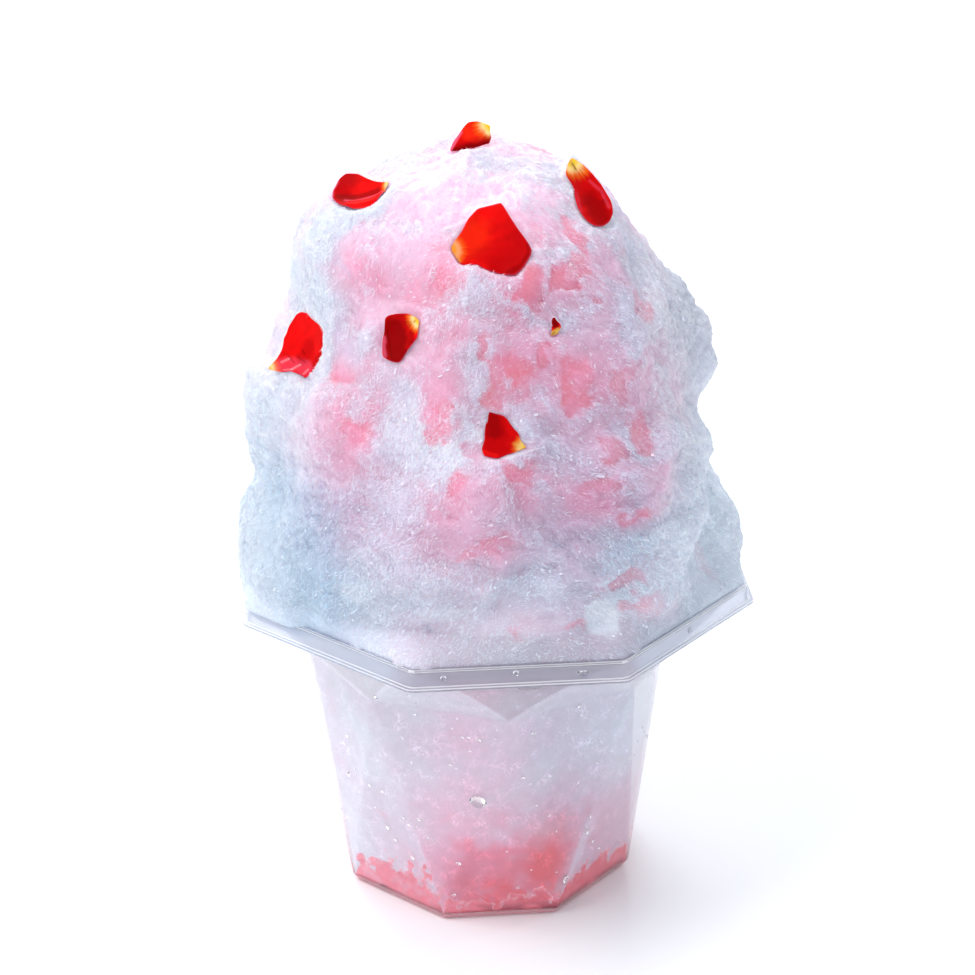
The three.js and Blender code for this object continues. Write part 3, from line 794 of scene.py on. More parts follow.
# Wide soft areas where much syrup shines through
GLOWS = [
    (-142, 31, 7, 6, 0.9), (-145, 46.5, 5, 5, 0.9), (-142, 29, 6, 5, 0.5), (-88, 39.2, 4, 4, 1.0),
    (-60, 26, 5, 5, 0.9), (-117, 30, 9, 8, 1.0), (-142, 46, 5, 7, 1.0), (-87, 30, 9, 6, 1.0),
    (-81, 38, 9, 7, 0.6), (-70, 45, 10, 8, 0.8), (-134, 55, 6, 12, 0.8), (-110, 52, 5, 9, 0.6),
    (-106, 66, 5, 8, 0.5), (-88, 63, 9, 7, 0.9), (-70, 69, 10, 3.5, 0.6), (-58, 76, 7, 2.5, 0.8),
    (-95, 79, 9, 5, 0.4), (-64, 91, 7, 3, 0.6), (-52, 99, 7, 4, 0.5), (-89, 101, 6, 3, 0.5),
    (-100, 18, 12, 8, 0.35), (-56, 48, 9, 7, 0.5), (-135, 38, 8, 6, 0.5), (-58, 24, 8, 7, 0.7),
    (-40, 58, 6, 6, 0.4),
]
# Areas where frost lies thick
FROSTS = [
    (-68, 33, 12, 3, 0.35), (-60, 3, 8, 5, 0.9), (-45, 38, 9, 8, 0.6), (-121, 50, 7, 6, 1.1),
    (-115, 57, 9, 6, 1.0), (-103, 51, 6, 6, 0.8), (-163, 26, 6, 10, 1.0), (-15, 12, 12, 8, 0.9),
    (-18, 31, 9, 9, 0.9), (-120, 93, 16, 5, 0.6), (-50, 62, 13, 4, 0.9), (-60, 82, 12, 4, 0.8),
    (-100, 44, 5, 8, 0.5), (-112, 92, 14, 7, 0.7), (-155, 45, 6, 14, 0.7), (-95, 9, 16, 7, 0.5),
    (-122, 75, 9, 10, 0.5), (-68, 96, 4.5, 3, 1.3), (-92, 52, 5, 6, 0.4),
]
# Pale pink places near the crown
BLUSHES = [(-120, 15, 12, 10, 1.0), (-104, 9, 10, 6, 0.9), (-75, 14, 6, 5, 0.7), (-135, 36, 8, 5, 0.5)]
# Clean white lumps near the rim
LUMPS = [(-69.8, 98.2, 4.4, 4.2, 0.9), (-107, 96, 6, 2.2, 0.4), (-128, 93, 5, 2.6, 0.4),
         (-82, 91, 2.5, 4, 0.25)]
# How many seeded areas each table gets, and the seed
OTHER_POCKETS, OTHER_GLOWS, OTHER_FROSTS, OTHER_BLUSHES = (60, 21), (30, 24), (24, 27), (2, 93)
POCKET_SIZES, WIDE_SIZES = (1.4, 5), (5, 11)
print(f"{len(POCKETS)} pockets, {len(GLOWS)} glows and {len(FROSTS)} frosts are placed by hand")

# %% Shares of the areas at any point


def shifted(points, size, seed, distance):
    """Points moved by slow noise in each direction, so that what is read there has ragged edges."""
    return np.stack([noise(points, size, seed + k) for k in range(3)], -1) * distance


def with_others(table, count_and_seed, sizes):
    """A given table of areas with seeded ones added outside the front third of the heap."""
    (count, seed), (low, high) = count_and_seed, sizes
    draw = np.random.default_rng(seed)
    others = np.stack([
        draw.uniform(15, 172, count), draw.uniform(10, 95, count), draw.uniform(low, high, count),
        draw.uniform(low * 0.8, high * 0.9, count), draw.uniform(0.4, 0.9, count),
    ], -1)
    return np.concatenate([table, others])


def areas(points, table, fall):
    """The largest share of some oval areas on the heap, by their distance in half widths.

    fall turns a distance, where 1 is an oval's edge, into a share from 1 to 0.
    """
    share = np.zeros(points.shape[:-1])
    for compass, polar, width, height, strength in table:
        out = directions(*np.radians((compass, polar)))
        centre = CORE + out * heap_reach(*np.radians((compass, polar)))
        across = np.cross([0, 0, 1], out)
        across /= np.linalg.norm(across)
        arrows = points - centre
        flat = np.hypot(arrows @ across / width, arrows @ np.cross(out, across) / height)
        flat = np.maximum(flat, np.abs(arrows @ out) / (width + height))
        share = np.maximum(share, strength * fall(flat))
    return share


def pocket_share(points):
    """1 inside a pocket and 0 outside, with a torn edge."""
    ragged = points + shifted(points, 6, 31, 3)
    ragged += shifted(points, 2.2, 34, 1.1)
    torn = noise(points, 3.5, 37) * 0.35 + noise(points, 1.6, 38) * 0.2
    table = with_others(POCKETS, OTHER_POCKETS, POCKET_SIZES)
    return areas(ragged, table, lambda flat: 1 - ramp(flat + torn, 0.6, 1.3))


def lump_share(points):
    """1 on the clean lumps of ice near the rim, with a ragged edge."""
    return areas(points + shifted(points, 3, 71, 1.1), LUMPS, lambda flat: 1 - ramp(flat, 0.75, 1.15))


def soft_share(points, table, others):
    """1 in the middle of each wide area, fading out past its edge."""
    table = with_others(table, others, WIDE_SIZES)
    return areas(points + shifted(points, 9, others[1], 4), table, lambda flat: np.exp(-flat ** 2))


# %% [markdown]
# ## The heap's surface
# Shavings freeze together into sheets and crumbs. Sculpting or thousands of joined chips could
# make them, but one closed surface is lighter, because every ray from the heap's middle leaves
# the ice only once. Its radius is the smooth heap's less a few broad dents, with lumps, sheets
# and crumbs added and the pockets sunk. Toward the rim the relief calms down and the ice spills a
# little way over the edge. Behind each petal it is pressed flat.

# %% Relief on the heap
HEAP_LIMIT = 59.9
# compass, polar, radius and depth in mm of places where the heap stands back, or out if below 0
DENTS = [(163, 90, 17, 3.4), (-7, 68, 4.5, 3.4), (-5, 62, 6, -4.5), (-7, 31, 10, 1.6), (-7, 92, 9, 1.6),
         (120, 50, 12, 2), (168, 24, 9, 2.5), (178, 18.5, 4.5, 2.4), (178, 29, 5, -2), (178, 62, 6, -2.6),
         (-140, 89, 12, 2.2), (-21, 85, 10, -3.4)]
CONTACT = 0.15                                     # how far the filling reaches into the plastic
RELIEF_SHARE, POCKET_DEPTH = 0.9, 0.5


def steps(values, edge=0.22):
    """A staircase: flat treads one unit apart, with each rise in the last part of a tread."""
    tread = np.floor(values)
    return tread + ramp(values - tread, 1 - edge, 1)


def heap_relief(points):
    """Lumps, sheets lying over each other and crumbs of several sizes, in millimetres.

    The points are first shifted by slow noise, so that the sheets' edges wind. A sheet is one
    tread of a staircase cut from noise. Each tread also gets a shade of its own, -1 to 1.
    """
    wound = points + shifted(points, 13, 11, 4)
    wound += shifted(points, 3.5, 14, 1.3)
    lumps = noise(wound, 11, 3) * 0.9 + noise(wound, 5, 4) * 0.25
    leaning = wound * [1, 1, 1.5] + [0.6, 0, 0] * wound[..., 2:]
    stairs = noise(leaning, 9, 1) * 2.0 + noise(wound, 4, 2) * 0.35
    shade = np.sin(np.floor(stairs) * 2.4 + noise(points, 16, 9) * 2)
    flank = np.maximum(ramp(np.abs(points[..., 0]), 26, 46), ramp(points[..., 2], 160, 176))
    crumbs = (noise(points, 2.4, 7) * 0.13 + noise(points, 1.5, 8) * 0.15) * (1 + 1.6 * flank)
    ridges = crests(points, 2.8, 6) ** 3 * 0.18
    return lumps + steps(stairs) * 0.45 + crumbs + ridges, shade


def dented(compass, polar, reach):
    """A reach less the dents, each depth * exp(-(distance / size) ** 2)."""
    for turn, fall, size, depth in DENTS:
        middle = directions(*np.radians((turn, fall)))
        away = np.arccos(np.clip(directions(compass, polar) @ middle, -1, 1)) * reach
        reach = reach - depth * np.exp(-(away / size) ** 2)
    return reach


# %% Ice pressed flat behind the petals


def outline_distance(edge, spots):
    """Distance of flat points from a closed outline, below zero inside it.

    It is the least distance to a side. A point lies inside if a line from it to the right
    crosses the sides an odd number of times.
    """
    after = np.roll(edge, -1, axis=0)
    side = after - edge
    gap = spots[:, None] - edge
    along = np.clip((gap * side).sum(-1) / (side ** 2).sum(-1), 0, 1)
    away = np.linalg.norm(gap - along[..., None] * side, axis=-1).min(1)
    crossing = (edge[:, 1] > spots[:, 1:]) != (after[:, 1] > spots[:, 1:])
    height = np.where(side[:, 1] == 0, 1e-9, side[:, 1])
    cut = edge[:, 0] + (spots[:, 1:] - edge[:, 1]) * side[:, 0] / height
    within = (crossing & (spots[:, :1] < cut)).sum(1) % 2 == 1
    return np.where(within, -away, away)


def press_under_petals(points, compass, polar, radius):
    """Radii moved so that the ice just meets the back of each petal that lies on it.

    A ray along f meets the plane behind a petal, with normal n through p, at (p . n) / (f . n).
    """
    flow = directions(compass, polar)
    for node, petal in PETALS.items():
        axes, middle = petal_axes(petal)
        local = (points - middle) @ axes.T
        reach = np.abs(np.array(petal["outline"])).max() + 4
        near = (np.abs(local[..., :2]) < reach).all(-1) & (np.abs(local[..., 2]) < 12)
        if not near.any():
            continue
        spots = local[near]
        outside = outline_distance(soft_outline(petal["outline"], 2), spots[:, :2])
        target = petal_height(petal, spots[:, 0], spots[:, 1]) - PETAL_THICKNESS / 2 - 0.25
        facing = flow[near] @ axes[2]
        wanted = (target + (middle - CORE) @ axes[2]) / np.maximum(facing, 0.2)
        if node == "petal_top":
            wanted = np.minimum(wanted, radius[near])
        hold = ramp(-outside, -petal.get("clearance", 0.7), 0.3)
        radius[near] = radius[near] * (1 - hold) + wanted * hold
    return radius


# %% The heap as a mesh
COLUMNS, HEAP_ROWS = 450, 214
ROW_CROWDING = 0.94                                # below 1, rows lie closer toward the rim
FOOT_DEPTH = 4
FOOT_INSET = np.array([0.95, 0.95, 1])
RIM_HEIGHT = CUP_HEIGHT + 0.25                     # where the heap meets the wall
LEDGE_SIDE, LEDGE_SPILL = np.radians(-168), 1.8    # where ice lies out over the ledge, and how far


def heap_surface():
    """Points of the heap from its crown down into the cup, with what happens at each of them.

    A row's angle from the crown is the rim's angle times (row / rows) ** 0.94. Near the rim the
    reach is blended into the wall's, by a ramp on the angle that is left.
    """
    turns = np.linspace(0, 2 * np.pi, COLUMNS, endpoint=False)
    rim_reach = wall_reach(turns, np.full(COLUMNS, np.radians(107)))
    rim_polar = np.arccos((RIM_HEIGHT - CORE[2]) / rim_reach)
    polar = rim_polar * np.linspace(0, 1, HEAP_ROWS + 1)[1:, None] ** ROW_CROWDING
    compass = np.broadcast_to(turns, polar.shape)
    outside = dented(compass, polar, heap_reach(compass, polar))
    smooth = CORE + directions(compass, polar) * outside[..., None]
    relief, shade = heap_relief(smooth)
    pockets = pocket_share(smooth)
    rim_near = ramp(polar - rim_polar, -0.09, -0.005)
    low = ramp(polar - rim_polar, -0.4, -0.15)
    raised = relief * (RELIEF_SHARE - 0.5 * pockets) * (1 - 0.3 * low) - POCKET_DEPTH * pockets
    raised = outside + raised * (1 - 0.6 * rim_near)
    over_ledge = ramp(np.cos(turns - LEDGE_SIDE), 0.89, 0.935) * LEDGE_SPILL
    ragged = noise(smooth[-1], 7, 61) + 0.5 * noise(smooth[-1], 2, 62)
    spill = np.clip(ragged, 0.4, 1) * 1.6 + over_ledge
    radius = raised * (1 - rim_near) + (wall_reach(turns, rim_polar) + CONTACT + spill) * rim_near
    points = CORE + directions(compass, polar) * radius[..., None]
    radius = press_under_petals(points, compass, polar, radius)
    points = CORE + directions(compass, polar) * radius[..., None]
    points[..., :2] = np.clip(points[..., :2], -HEAP_LIMIT, HEAP_LIMIT)
    foot = points[-1] * FOOT_INSET - [0, 0, FOOT_DEPTH]
    crown = CORE + [0, 0, points[0, :, 2].mean() - CORE[2]]
    every = np.concatenate([[crown], points.reshape(-1, 3), foot, [[0, 0, foot[0, 2]]]])
    more = np.zeros(COLUMNS + 1)
    relief, shade, pockets = (
        np.concatenate([[v[0].mean()], v.ravel(), more]) for v in (relief, shade, pockets))
    return every, relief, shade, pockets


ice_points, relief, shade, pockets = heap_surface()
ice_faces = closed_rows(HEAP_ROWS + 1, COLUMNS)
ice = mesh_piece("ice_heap", ice_points, ice_faces)
print(f"heap reaches {ice_points.min(0).round(1)} to {ice_points.max(0).round(1)} mm")

# %% [markdown]
# ## Ice and syrup in the cup
# Ice pressed against a wall takes the wall's form, and syrup collects under it. Their shared
# border climbs the wall in tongues, high on the flat sides and low at the corners, where the wall
# stands off from the slush. A Boolean could cut both from one block, but rows of points that run
# down the wall and back along the border give the same form with even faces. Both reach a little
# into the plastic, because an air gap would show as a bright line behind it.

# %% The inner wall and the border of the syrup
SYRUP_LEVEL = 4.6
SYRUP_HEIGHTS = np.array([4.5, 9.5, 6, 7.5, 5, 9, 5.5, 9])      # on each flat side, from the front
SYRUP_LOWEST = 1.3
TIP_SLOPE = 0.29                                                 # half width of a corner facet by height


def section_reach(compass, height):
    """Distance of the inner wall from the axis at a height: the nearest of sixteen planes.

    A plane facing a side stands d away at this height, and is met at d / cos(compass - side).
    """
    high = height >= SHOULDER_RING[0]
    nearest = np.full(np.shape(compass), np.inf)
    for faced, kind in ((SIDES, 1), (CORNERS, 2)):
        low_rise = (SHOULDER_RING[kind] - BASE_RING[kind]) / (SHOULDER_RING[0] - BASE_RING[0])
        high_rise = (LEDGE_RING[kind] - SHOULDER_RING[kind]) / (LEDGE_RING[0] - SHOULDER_RING[0])
        away = SHOULDER_RING[kind] + np.where(high, high_rise, low_rise) * (height - SHOULDER_RING[0])
        for side in faced:
            nearest = np.minimum(nearest, away / np.maximum(np.cos(compass - side), 1e-3))
    return nearest


def from_corner(compass):
    """Distance in mm along the wall's foot from the nearest corner."""
    return np.abs((compass - CORNERS[0] + np.pi / 8) % (np.pi / 4) - np.pi / 8) * BASE_RADIUS


def syrup_edge(compass):
    """Height of the syrup against the wall: ragged on each side, falling to the base at corners.

    It is each side's own height and noise of three sizes, under a line that climbs from the corner.
    """
    spots = np.stack([np.cos(compass), np.sin(compass), 0 * compass], -1) * BASE_RADIUS
    side = np.round((compass - SIDES[0]) / (np.pi / 4)).astype(int) % 8
    height = SYRUP_HEIGHTS[side] + noise(spots, 6, 71) * 2.4 + noise(spots, 2, 72) * 1.5
    height = np.minimum(height, BASE_HEIGHT - 0.4 + from_corner(compass) / TIP_SLOPE)
    return np.maximum(height + noise(spots, 1, 73) * 0.4, SYRUP_LOWEST)


def border(compass, share):
    """The surface between ice and syrup: level in the middle, rising to the edge at the wall."""
    return SYRUP_LEVEL + (syrup_edge(compass) - SYRUP_LEVEL) * share ** 8


# %% Packed ice and syrup as meshes
PACKED_ROWS, PACKED_COLUMNS, SYRUP_ROWS = 190, 480, 16
OVERLAP = 0.4                                      # how far the ice dips into the syrup
INWARD = np.array([0.97, 0.93, 0.85, 0.6, 0.3])    # shares of the wall's distance along the border


def rows_around(turns, radius, height, top, bottom):
    """Points of a closed piece: a top point, rows by radius and height, a bottom point."""
    rows = np.stack([radius * np.cos(turns), radius * np.sin(turns), height], -1)
    every = np.concatenate([[[0, 0, top]], rows.reshape(-1, 3), [[0, 0, bottom]]])
    return every, closed_rows(len(rows), PACKED_COLUMNS)


def packed_surface():
    """Rows across the top, down the wall and back along the border with the syrup."""
    turns = np.linspace(0, 2 * np.pi, PACKED_COLUMNS, endpoint=False)
    top = CUP_HEIGHT - 0.5
    edge = syrup_edge(turns) - OVERLAP
    heights = top + (edge - top) * np.linspace(0, 1, PACKED_ROWS)[:, None]
    wall = section_reach(np.broadcast_to(turns, heights.shape), heights) + CONTACT
    lid, below = np.linspace(0.3, 1, 4)[:-1, None] * wall[0], INWARD[:, None]
    radius = np.concatenate([lid, wall, below * wall[-1]])
    height = np.concatenate([np.full(lid.shape, top), heights, border(turns, below) - OVERLAP])
    return rows_around(turns, radius, height, top, SYRUP_LEVEL - OVERLAP)


def syrup_surface():
    """Rows along the border, down the wall and back over the cup's floor and raised panel."""
    turns = np.linspace(0, 2 * np.pi, PACKED_COLUMNS, endpoint=False)
    edge = syrup_edge(turns)
    floor_edge = np.minimum(BASE_RING[0], edge - 0.2)
    heights = edge + (floor_edge - edge) * np.linspace(0, 1, SYRUP_ROWS)[:, None] ** 2
    around = np.broadcast_to(turns, heights.shape)
    wall = section_reach(around, np.maximum(heights, BASE_RING[0])) + CONTACT + 0.06
    inner = INWARD[::-1, None]
    eight_sided = section_reach(turns, np.full(PACKED_COLUMNS, BASE_RING[0])) / BASE_RING[2]
    floor_level, panel_level = FLOOR_HEIGHT - 0.1, PANEL_RISE + WALL - 0.1
    ground = np.array([
        (FOOT_RADIUS - 0.5, floor_level), (31.9, floor_level), (29.9, panel_level), (15, panel_level)])
    radius = np.concatenate([inner * wall[0], wall, ground[:, :1] * eight_sided])
    flat = np.broadcast_to(ground[:, 1:], (len(ground), PACKED_COLUMNS))
    height = np.concatenate([border(turns, inner), heights, flat])
    return rows_around(turns, radius, height, SYRUP_LEVEL, panel_level)


packed_points, packed_faces = packed_surface()
packed = mesh_piece("ice_packed", packed_points, packed_faces)
syrup_points, syrup_faces = syrup_surface()
syrup = mesh_piece("red_syrup", syrup_points, syrup_faces)
print(f"packed ice down to {packed_points[:, 2].min():.1f} mm, syrup up to {syrup_points[:, 2].max():.1f} mm")

# %% [markdown]
# ## Colour of the heap
# Ice shavings scatter light like snow. Syrup turns them pink where it soaked in: through the
# middle of the heap, in the pockets, and more and more toward the cup's bottom. Noise nodes alone
# would scatter pink anywhere. So three colours are stored on each point, for soaked ice, for the
# dry frost on it and for the pockets, with two numbers that tell the material where frost and
# pockets lie. Painted shade darkens all three where the heap turns from the light, and painted
# light brightens them along the rim on the left and in a pool on the front. The material adds
# only the fine grain, painted glints and painted shade in small pits.

# %% Shades of ice and syrup
CLEAN = np.array([0.80, 0.84, 0.93])
LILAC = np.array([0.78, 0.61, 0.76])
MAUVE = np.array([0.82, 0.52, 0.67])
PINK = np.array([0.92, 0.34, 0.50])
CORAL = np.array([0.95, 0.24, 0.31])
BLUSH = np.array([0.98, 0.68, 0.85])
RED = np.array([0.90, 0.16, 0.20])
DULL_CLEAN, BRIGHT_CLEAN = CLEAN * 0.96, CLEAN * 1.02


def bell(distance, size):
    """1 at no distance, falling as exp(-(distance / size) ** 2)."""
    return np.exp(-(distance / size) ** 2)


def layered(colours, layers):
    """Colours with others laid over them in turn: each layer is a colour and its share."""
    for other, share in layers:
        colours = blend(colours, other, share)
    return colours


# %% Frost and syrup on the heap


def frost_share(points, relief, shade):
    """1 where dry white flakes lie on top and 0 where the soaked ice shows, with ragged edges.

    Raised ice is dry. Streaks that lean one way on the left and the other way on the right
    break the areas up.
    """
    side = np.where(points[:, :1] < 0, 1, -1)
    streaks = np.concatenate([
        points[:, :1] * 0.9 - side * points[:, 2:] * 0.5, points[:, 1:2], points[:, 2:] * 0.35], 1)
    field = relief * 0.1 + shade * 0.14 + noise(streaks, 5, 47) * 0.3 + noise(points, 13, 42) * 0.4
    field += noise(streaks, 1.4, 49) * 0.15 + soft_share(points, FROSTS, OTHER_FROSTS)
    field -= soft_share(points, BLUSHES, OTHER_BLUSHES) * 0.4
    crisp = ramp(points[:, 2], 112, 140) * 0.35
    return ramp((field - 0.15) / (1 - crisp) + 0.15, -0.55, 0.9)


def soaked_share(points):
    """How much syrup the ice holds: most through the middle, less at the crown and the foot."""
    x, z = points[:, 0], points[:, 2]
    width = 42 - 6 * ramp(z, 130, 155)
    middle = np.exp(-((x + 3 + noise(points, 18, 41) * 5) / width) ** 4)
    wash = middle * (0.3 + 0.7 * ramp(z, 96, 126)) * (1 - 0.6 * ramp(z, 166, 182))
    return np.clip(wash * (1 + noise(points, 20, 45) * 0.35), 0, 1)


# %% Shade and colours of the heap


def heap_shade(points, frost_and_light_pool):
    """A factor for red, green and blue at each point, from parts of the heap that are in shade.

    Each row is a share and how much it takes from the three channels; below zero it adds.
    """
    x, y, z = points.T
    near_rim = ramp(-z, -92, -85)
    rows = [
        # the lower half, but less in the middle; then the bulge low on the left
        (ramp(-z, -150, -98) * (1 - 0.5 * bell(x + 8, 22)), [0.14, 0.08, 0.06]),
        (bell(x + 44, 9) * ramp(-z, -125, -112), [0.20, 0.12, 0.07]),
        # the right flank, and the front where it turns toward it
        (ramp(x, 34, 46) * ramp(z, 126, 138) * ramp(-z, -162, -150), [0.19, 0.19, 0.17]),
        (ramp(x, -18, 8) * ramp(-x, -36, -26) * ramp(-z, -178, -160) * ramp(z, 90, 104),
         [0.14, 0.04, 0.03]),
        # along the rim: darker in front, lighter on the left
        (near_rim * ramp(-y, 25, 45) * ramp(x, -30, -5), [0.22, 0.22, 0.21]),
        (near_rim * ramp(-x, 18, 32), [-0.14] * 3),
        # all below the crown, the upper left, and the left foot
        (ramp(-z, -174, -160), [0.045] * 3),
        (ramp(-x, 15, 30) * ramp(z, 138, 155), [0.07, 0.03, 0.03]),
        (ramp(-z, -112, -102) * ramp(-x, 15, 25) * (1 - near_rim), [0.04] * 3),
        # patches everywhere, and a painted pool of light on the front, left of the middle
        (noise(points, 9, 46), [-0.03] * 3),
        (frost_and_light_pool, [-0.1] * 3),
    ]
    return 1 - sum(share[:, None] * np.array(amount) for share, amount in rows)


def heap_colours(points):
    """Linear colours of the soaked ice, of the frost on it and of the pockets in it.

    Syrup fills the middle and the sides are clean. Lumps near the rim are clean all through.
    """
    x, y, z = points.T
    soaked = soaked_share(points)
    glow = soft_share(points, GLOWS, OTHER_GLOWS) + noise(points, 12, 44) * 0.2
    deep = layered(DULL_CLEAN, [
        (MAUVE, ramp(soaked, 0, 0.7)),
        (BLUSH, ramp(soaked, 0, 0.3) * ramp(z, 158, 176) * 0.6),
        (PINK, np.clip(glow, 0, 1) * (0.25 + 0.75 * soaked)),
        (BLUSH, soft_share(points, BLUSHES, OTHER_BLUSHES)),
    ])
    syrup_colour = blend(PINK, CORAL, np.clip(0.6 + noise(points, 5, 48) * 0.6, 0, 1))
    # painted light: the pockets' colour is lighter low down, against the shade there
    syrup_colour = syrup_colour * (1 + 0.14 * ramp(-z, -118, -106))[:, None]
    hollow = layered(DULL_CLEAN, [
        (syrup_colour, 0.5 + 0.5 * ramp(soaked, 0, 0.4)),
        (LILAC * [0.94, 1.0, 1.02], ramp(-x, 14, 20) * ramp(z, 140, 148)),
    ])
    high = ramp(z, 150, 172) * (0.4 + 0.6 * ramp(-x, 5, 25))
    # painted light: a pool of light on the front, left of the middle, where the frost turns whiter
    frost_and_light_pool = bell(x + 17, 13) * bell(z - 133, 13) * ramp(-y, 0, 10)
    white = blend(BRIGHT_CLEAN, LILAC, ramp(soaked, 0, 0.8) * (0.8 - 0.4 * high) * (1 - 0.6 * frost_and_light_pool))
    # painted shade from heap_shade darkens the three colours, and its painted light lightens them
    factor, clean = heap_shade(points, frost_and_light_pool), lump_share(points)
    return [blend(tint * factor, DULL_CLEAN, clean) for tint in (deep, white, hollow)]


# %% Colours stored on the heap
frost = frost_share(ice_points, relief, shade) * (1 - 0.85 * np.clip(pockets, 0, 1))
deep_tints, frost_tints, hollow_tints = heap_colours(ice_points)
heap_tints = blend(blend(deep_tints, frost_tints, frost), hollow_tints, np.clip(pockets, 0, 1) * 0.8)
point_colours(ice, "tint", deep_tints)
point_colours(ice, "white", frost_tints)
point_colours(ice, "hollow", hollow_tints)
point_values(ice, "frost", frost)
point_values(ice, "pocket", pockets)
print(f"frost covers {frost.mean():.0%} of the heap's points and pockets {(pockets > 0.5).mean():.0%}")

# %% [markdown]
# ## Colour of the filling
# In the cup the ice is pale under the rim, pinker lower down and red at the bottom, where the
# syrup stands in pools against the wall. Painting it would be quick, but a rule goes right round
# the cup: noise and distances give each point its colour. Painted shade darkens its right side,
# the band under the rim and the facets above the shoulder that lean out, painted light makes the
# facets between them lighter, and a painted highlight marks the fine crease between them.

# %% Colours stored on the packed ice and the syrup
CREASE_TURN, CREASE_RISE = 55, 23.5                # mm round the wall, and across the upper band


def past_crease(points):
    """Distance in mm past the crease where a leaning facet above the shoulder meets the next."""
    rise = (points[:, 2] - SHOULDER_HEIGHT) / (CUP_HEIGHT - SHOULDER_HEIGHT)
    from_side = np.pi / 8 * BASE_RADIUS - from_corner(np.arctan2(points[:, 1], points[:, 0]))
    return from_side / BASE_RADIUS * CREASE_TURN - rise * CREASE_RISE


def corner_wedge(points):
    """1 on a pale wedge that opens upward from each front corner of the base, else 0."""
    x, y, z = points.T
    rise = z - BASE_HEIGHT
    outward = (np.abs(np.arctan2(y, x) + np.pi / 2) - np.pi / 8) * BASE_RADIUS - rise * TIP_SLOPE
    width = 0.24 * rise + noise(points, 4, 52) * 1.2
    return ramp(outward, -0.3, 0.2) * (1 - ramp(outward - width, -0.5, 0.5)) * (y < 0)


def packed_colours(points):
    """Linear colours of the ice in the cup: pale at top, pinker and redder lower, with painted shade and
    light.
    """
    x, y, z = points.T
    patch = noise(points, 20, 41) * 0.5 + noise(points, 8, 42) * 0.35 + noise(points, 3, 43) * 0.2
    deep, centre, front = ramp(-z, -50, -10), bell(x - 2, 17), y < 0
    colours = layered(CLEAN, [
        (LILAC, np.clip(0.35 + 0.35 * centre + patch * 0.5, 0, 1)),
        (BLUSH * 0.95, bell(x + 10, 9) * np.clip(0.5 + patch * 0.6, 0, 1)),
        (PINK, np.clip(deep * (1.1 + patch * 1.2), 0, 1) * centre),
        (CORAL, ramp(patch + deep * centre, 0.5, 1.0) * (0.85 - 0.6 * ramp(x, 10, 18))),
        (PINK * 0.9, ramp(-z, -28, -12) * bell(x + 8, 11) * np.clip(0.9 + patch, 0, 1)),
        (RED, ramp(patch + ramp(-z, -28, -8) * centre, 0.7, 1.15) * 0.8),
    ])
    # painted shade: the right side of the cup is darker, turned from the light
    colours = colours * (1 - ramp(x, -4, 14)[:, None] * [0.17, 0.14, 0.12])
    pool = bell(x - 10, 5.5) * bell(z - 16, 9) * front
    spots = noise(points, 4, 49) * 0.6 + noise(points, 1.6, 50) * 0.5 + ramp(-z, -17, -5) * 0.8
    # the facets above the shoulder that lean out, which get painted shade below
    leaning = 1 - ramp(past_crease(points), -0.4, 0.4)
    upper = ramp(z, SHOULDER_HEIGHT - 0.1, SHOULDER_HEIGHT + 0.3)
    colours = layered(colours, [
        (RED * 0.92, np.clip(pool * 1.2 + noise(points, 5, 51) * 0.5 * pool, 0, 1) * 0.9),
        (RED, ramp(spots, 0.76, 0.86) * 0.75 * centre),
        (LILAC * 0.6 + CLEAN * 0.4, corner_wedge(points) * ramp(-z, -32, -20) * 0.6),
        # painted light on the facets above the shoulder that don't lean out
        (CLEAN, 0.5 * upper * (1 - leaning)),
        (CORAL * 0.8, 0.7 * bell(x + 9, 4) * bell(z - 11, 6) * front),
        (PINK * 0.8, 0.45 * ramp(x, 19, 25) * ramp(-z, -40, -20) * front),
    ])
    # painted shade: the upper band darker, most on its leaning facets and just under the rim
    return colours * (1 - 0.2 * leaning * upper - 0.06 * upper - 0.08 * ramp(z, 71, 77))[:, None]


point_values(packed, "crease", past_crease(packed_points))
for piece, points in ((packed, packed_points), (syrup, syrup_points)):
    point_colours(piece, "tint", packed_colours(points))
    point_values(piece, "above", points[:, 2] - syrup_edge(np.arctan2(points[:, 1], points[:, 0])))
    print(f"{piece.name}: coloured {len(points)} points")

# %% [markdown]
# ## Ice materials
# Light goes a few millimetres into a heap of snow and comes out again, so the heap's material
# scatters below its surface. Real transmission through crystals would be truer, but slow and
# noisy. Fibres are noise drawn out along a few directions: they thin the frost out and tip its
# bumps, which is cheaper than modelling every thread.

# %% Material of the heap
FIBRE_SCALE, FIBRE_LENGTH = 2100, 7
LEFT_FIBRES = ((0.2, 0.75, 0), (-0.3, 0.15, 0))    # turns in radians
RIGHT_FIBRES = ((0.2, -0.95, 0), (0.4, -0.45, 0))


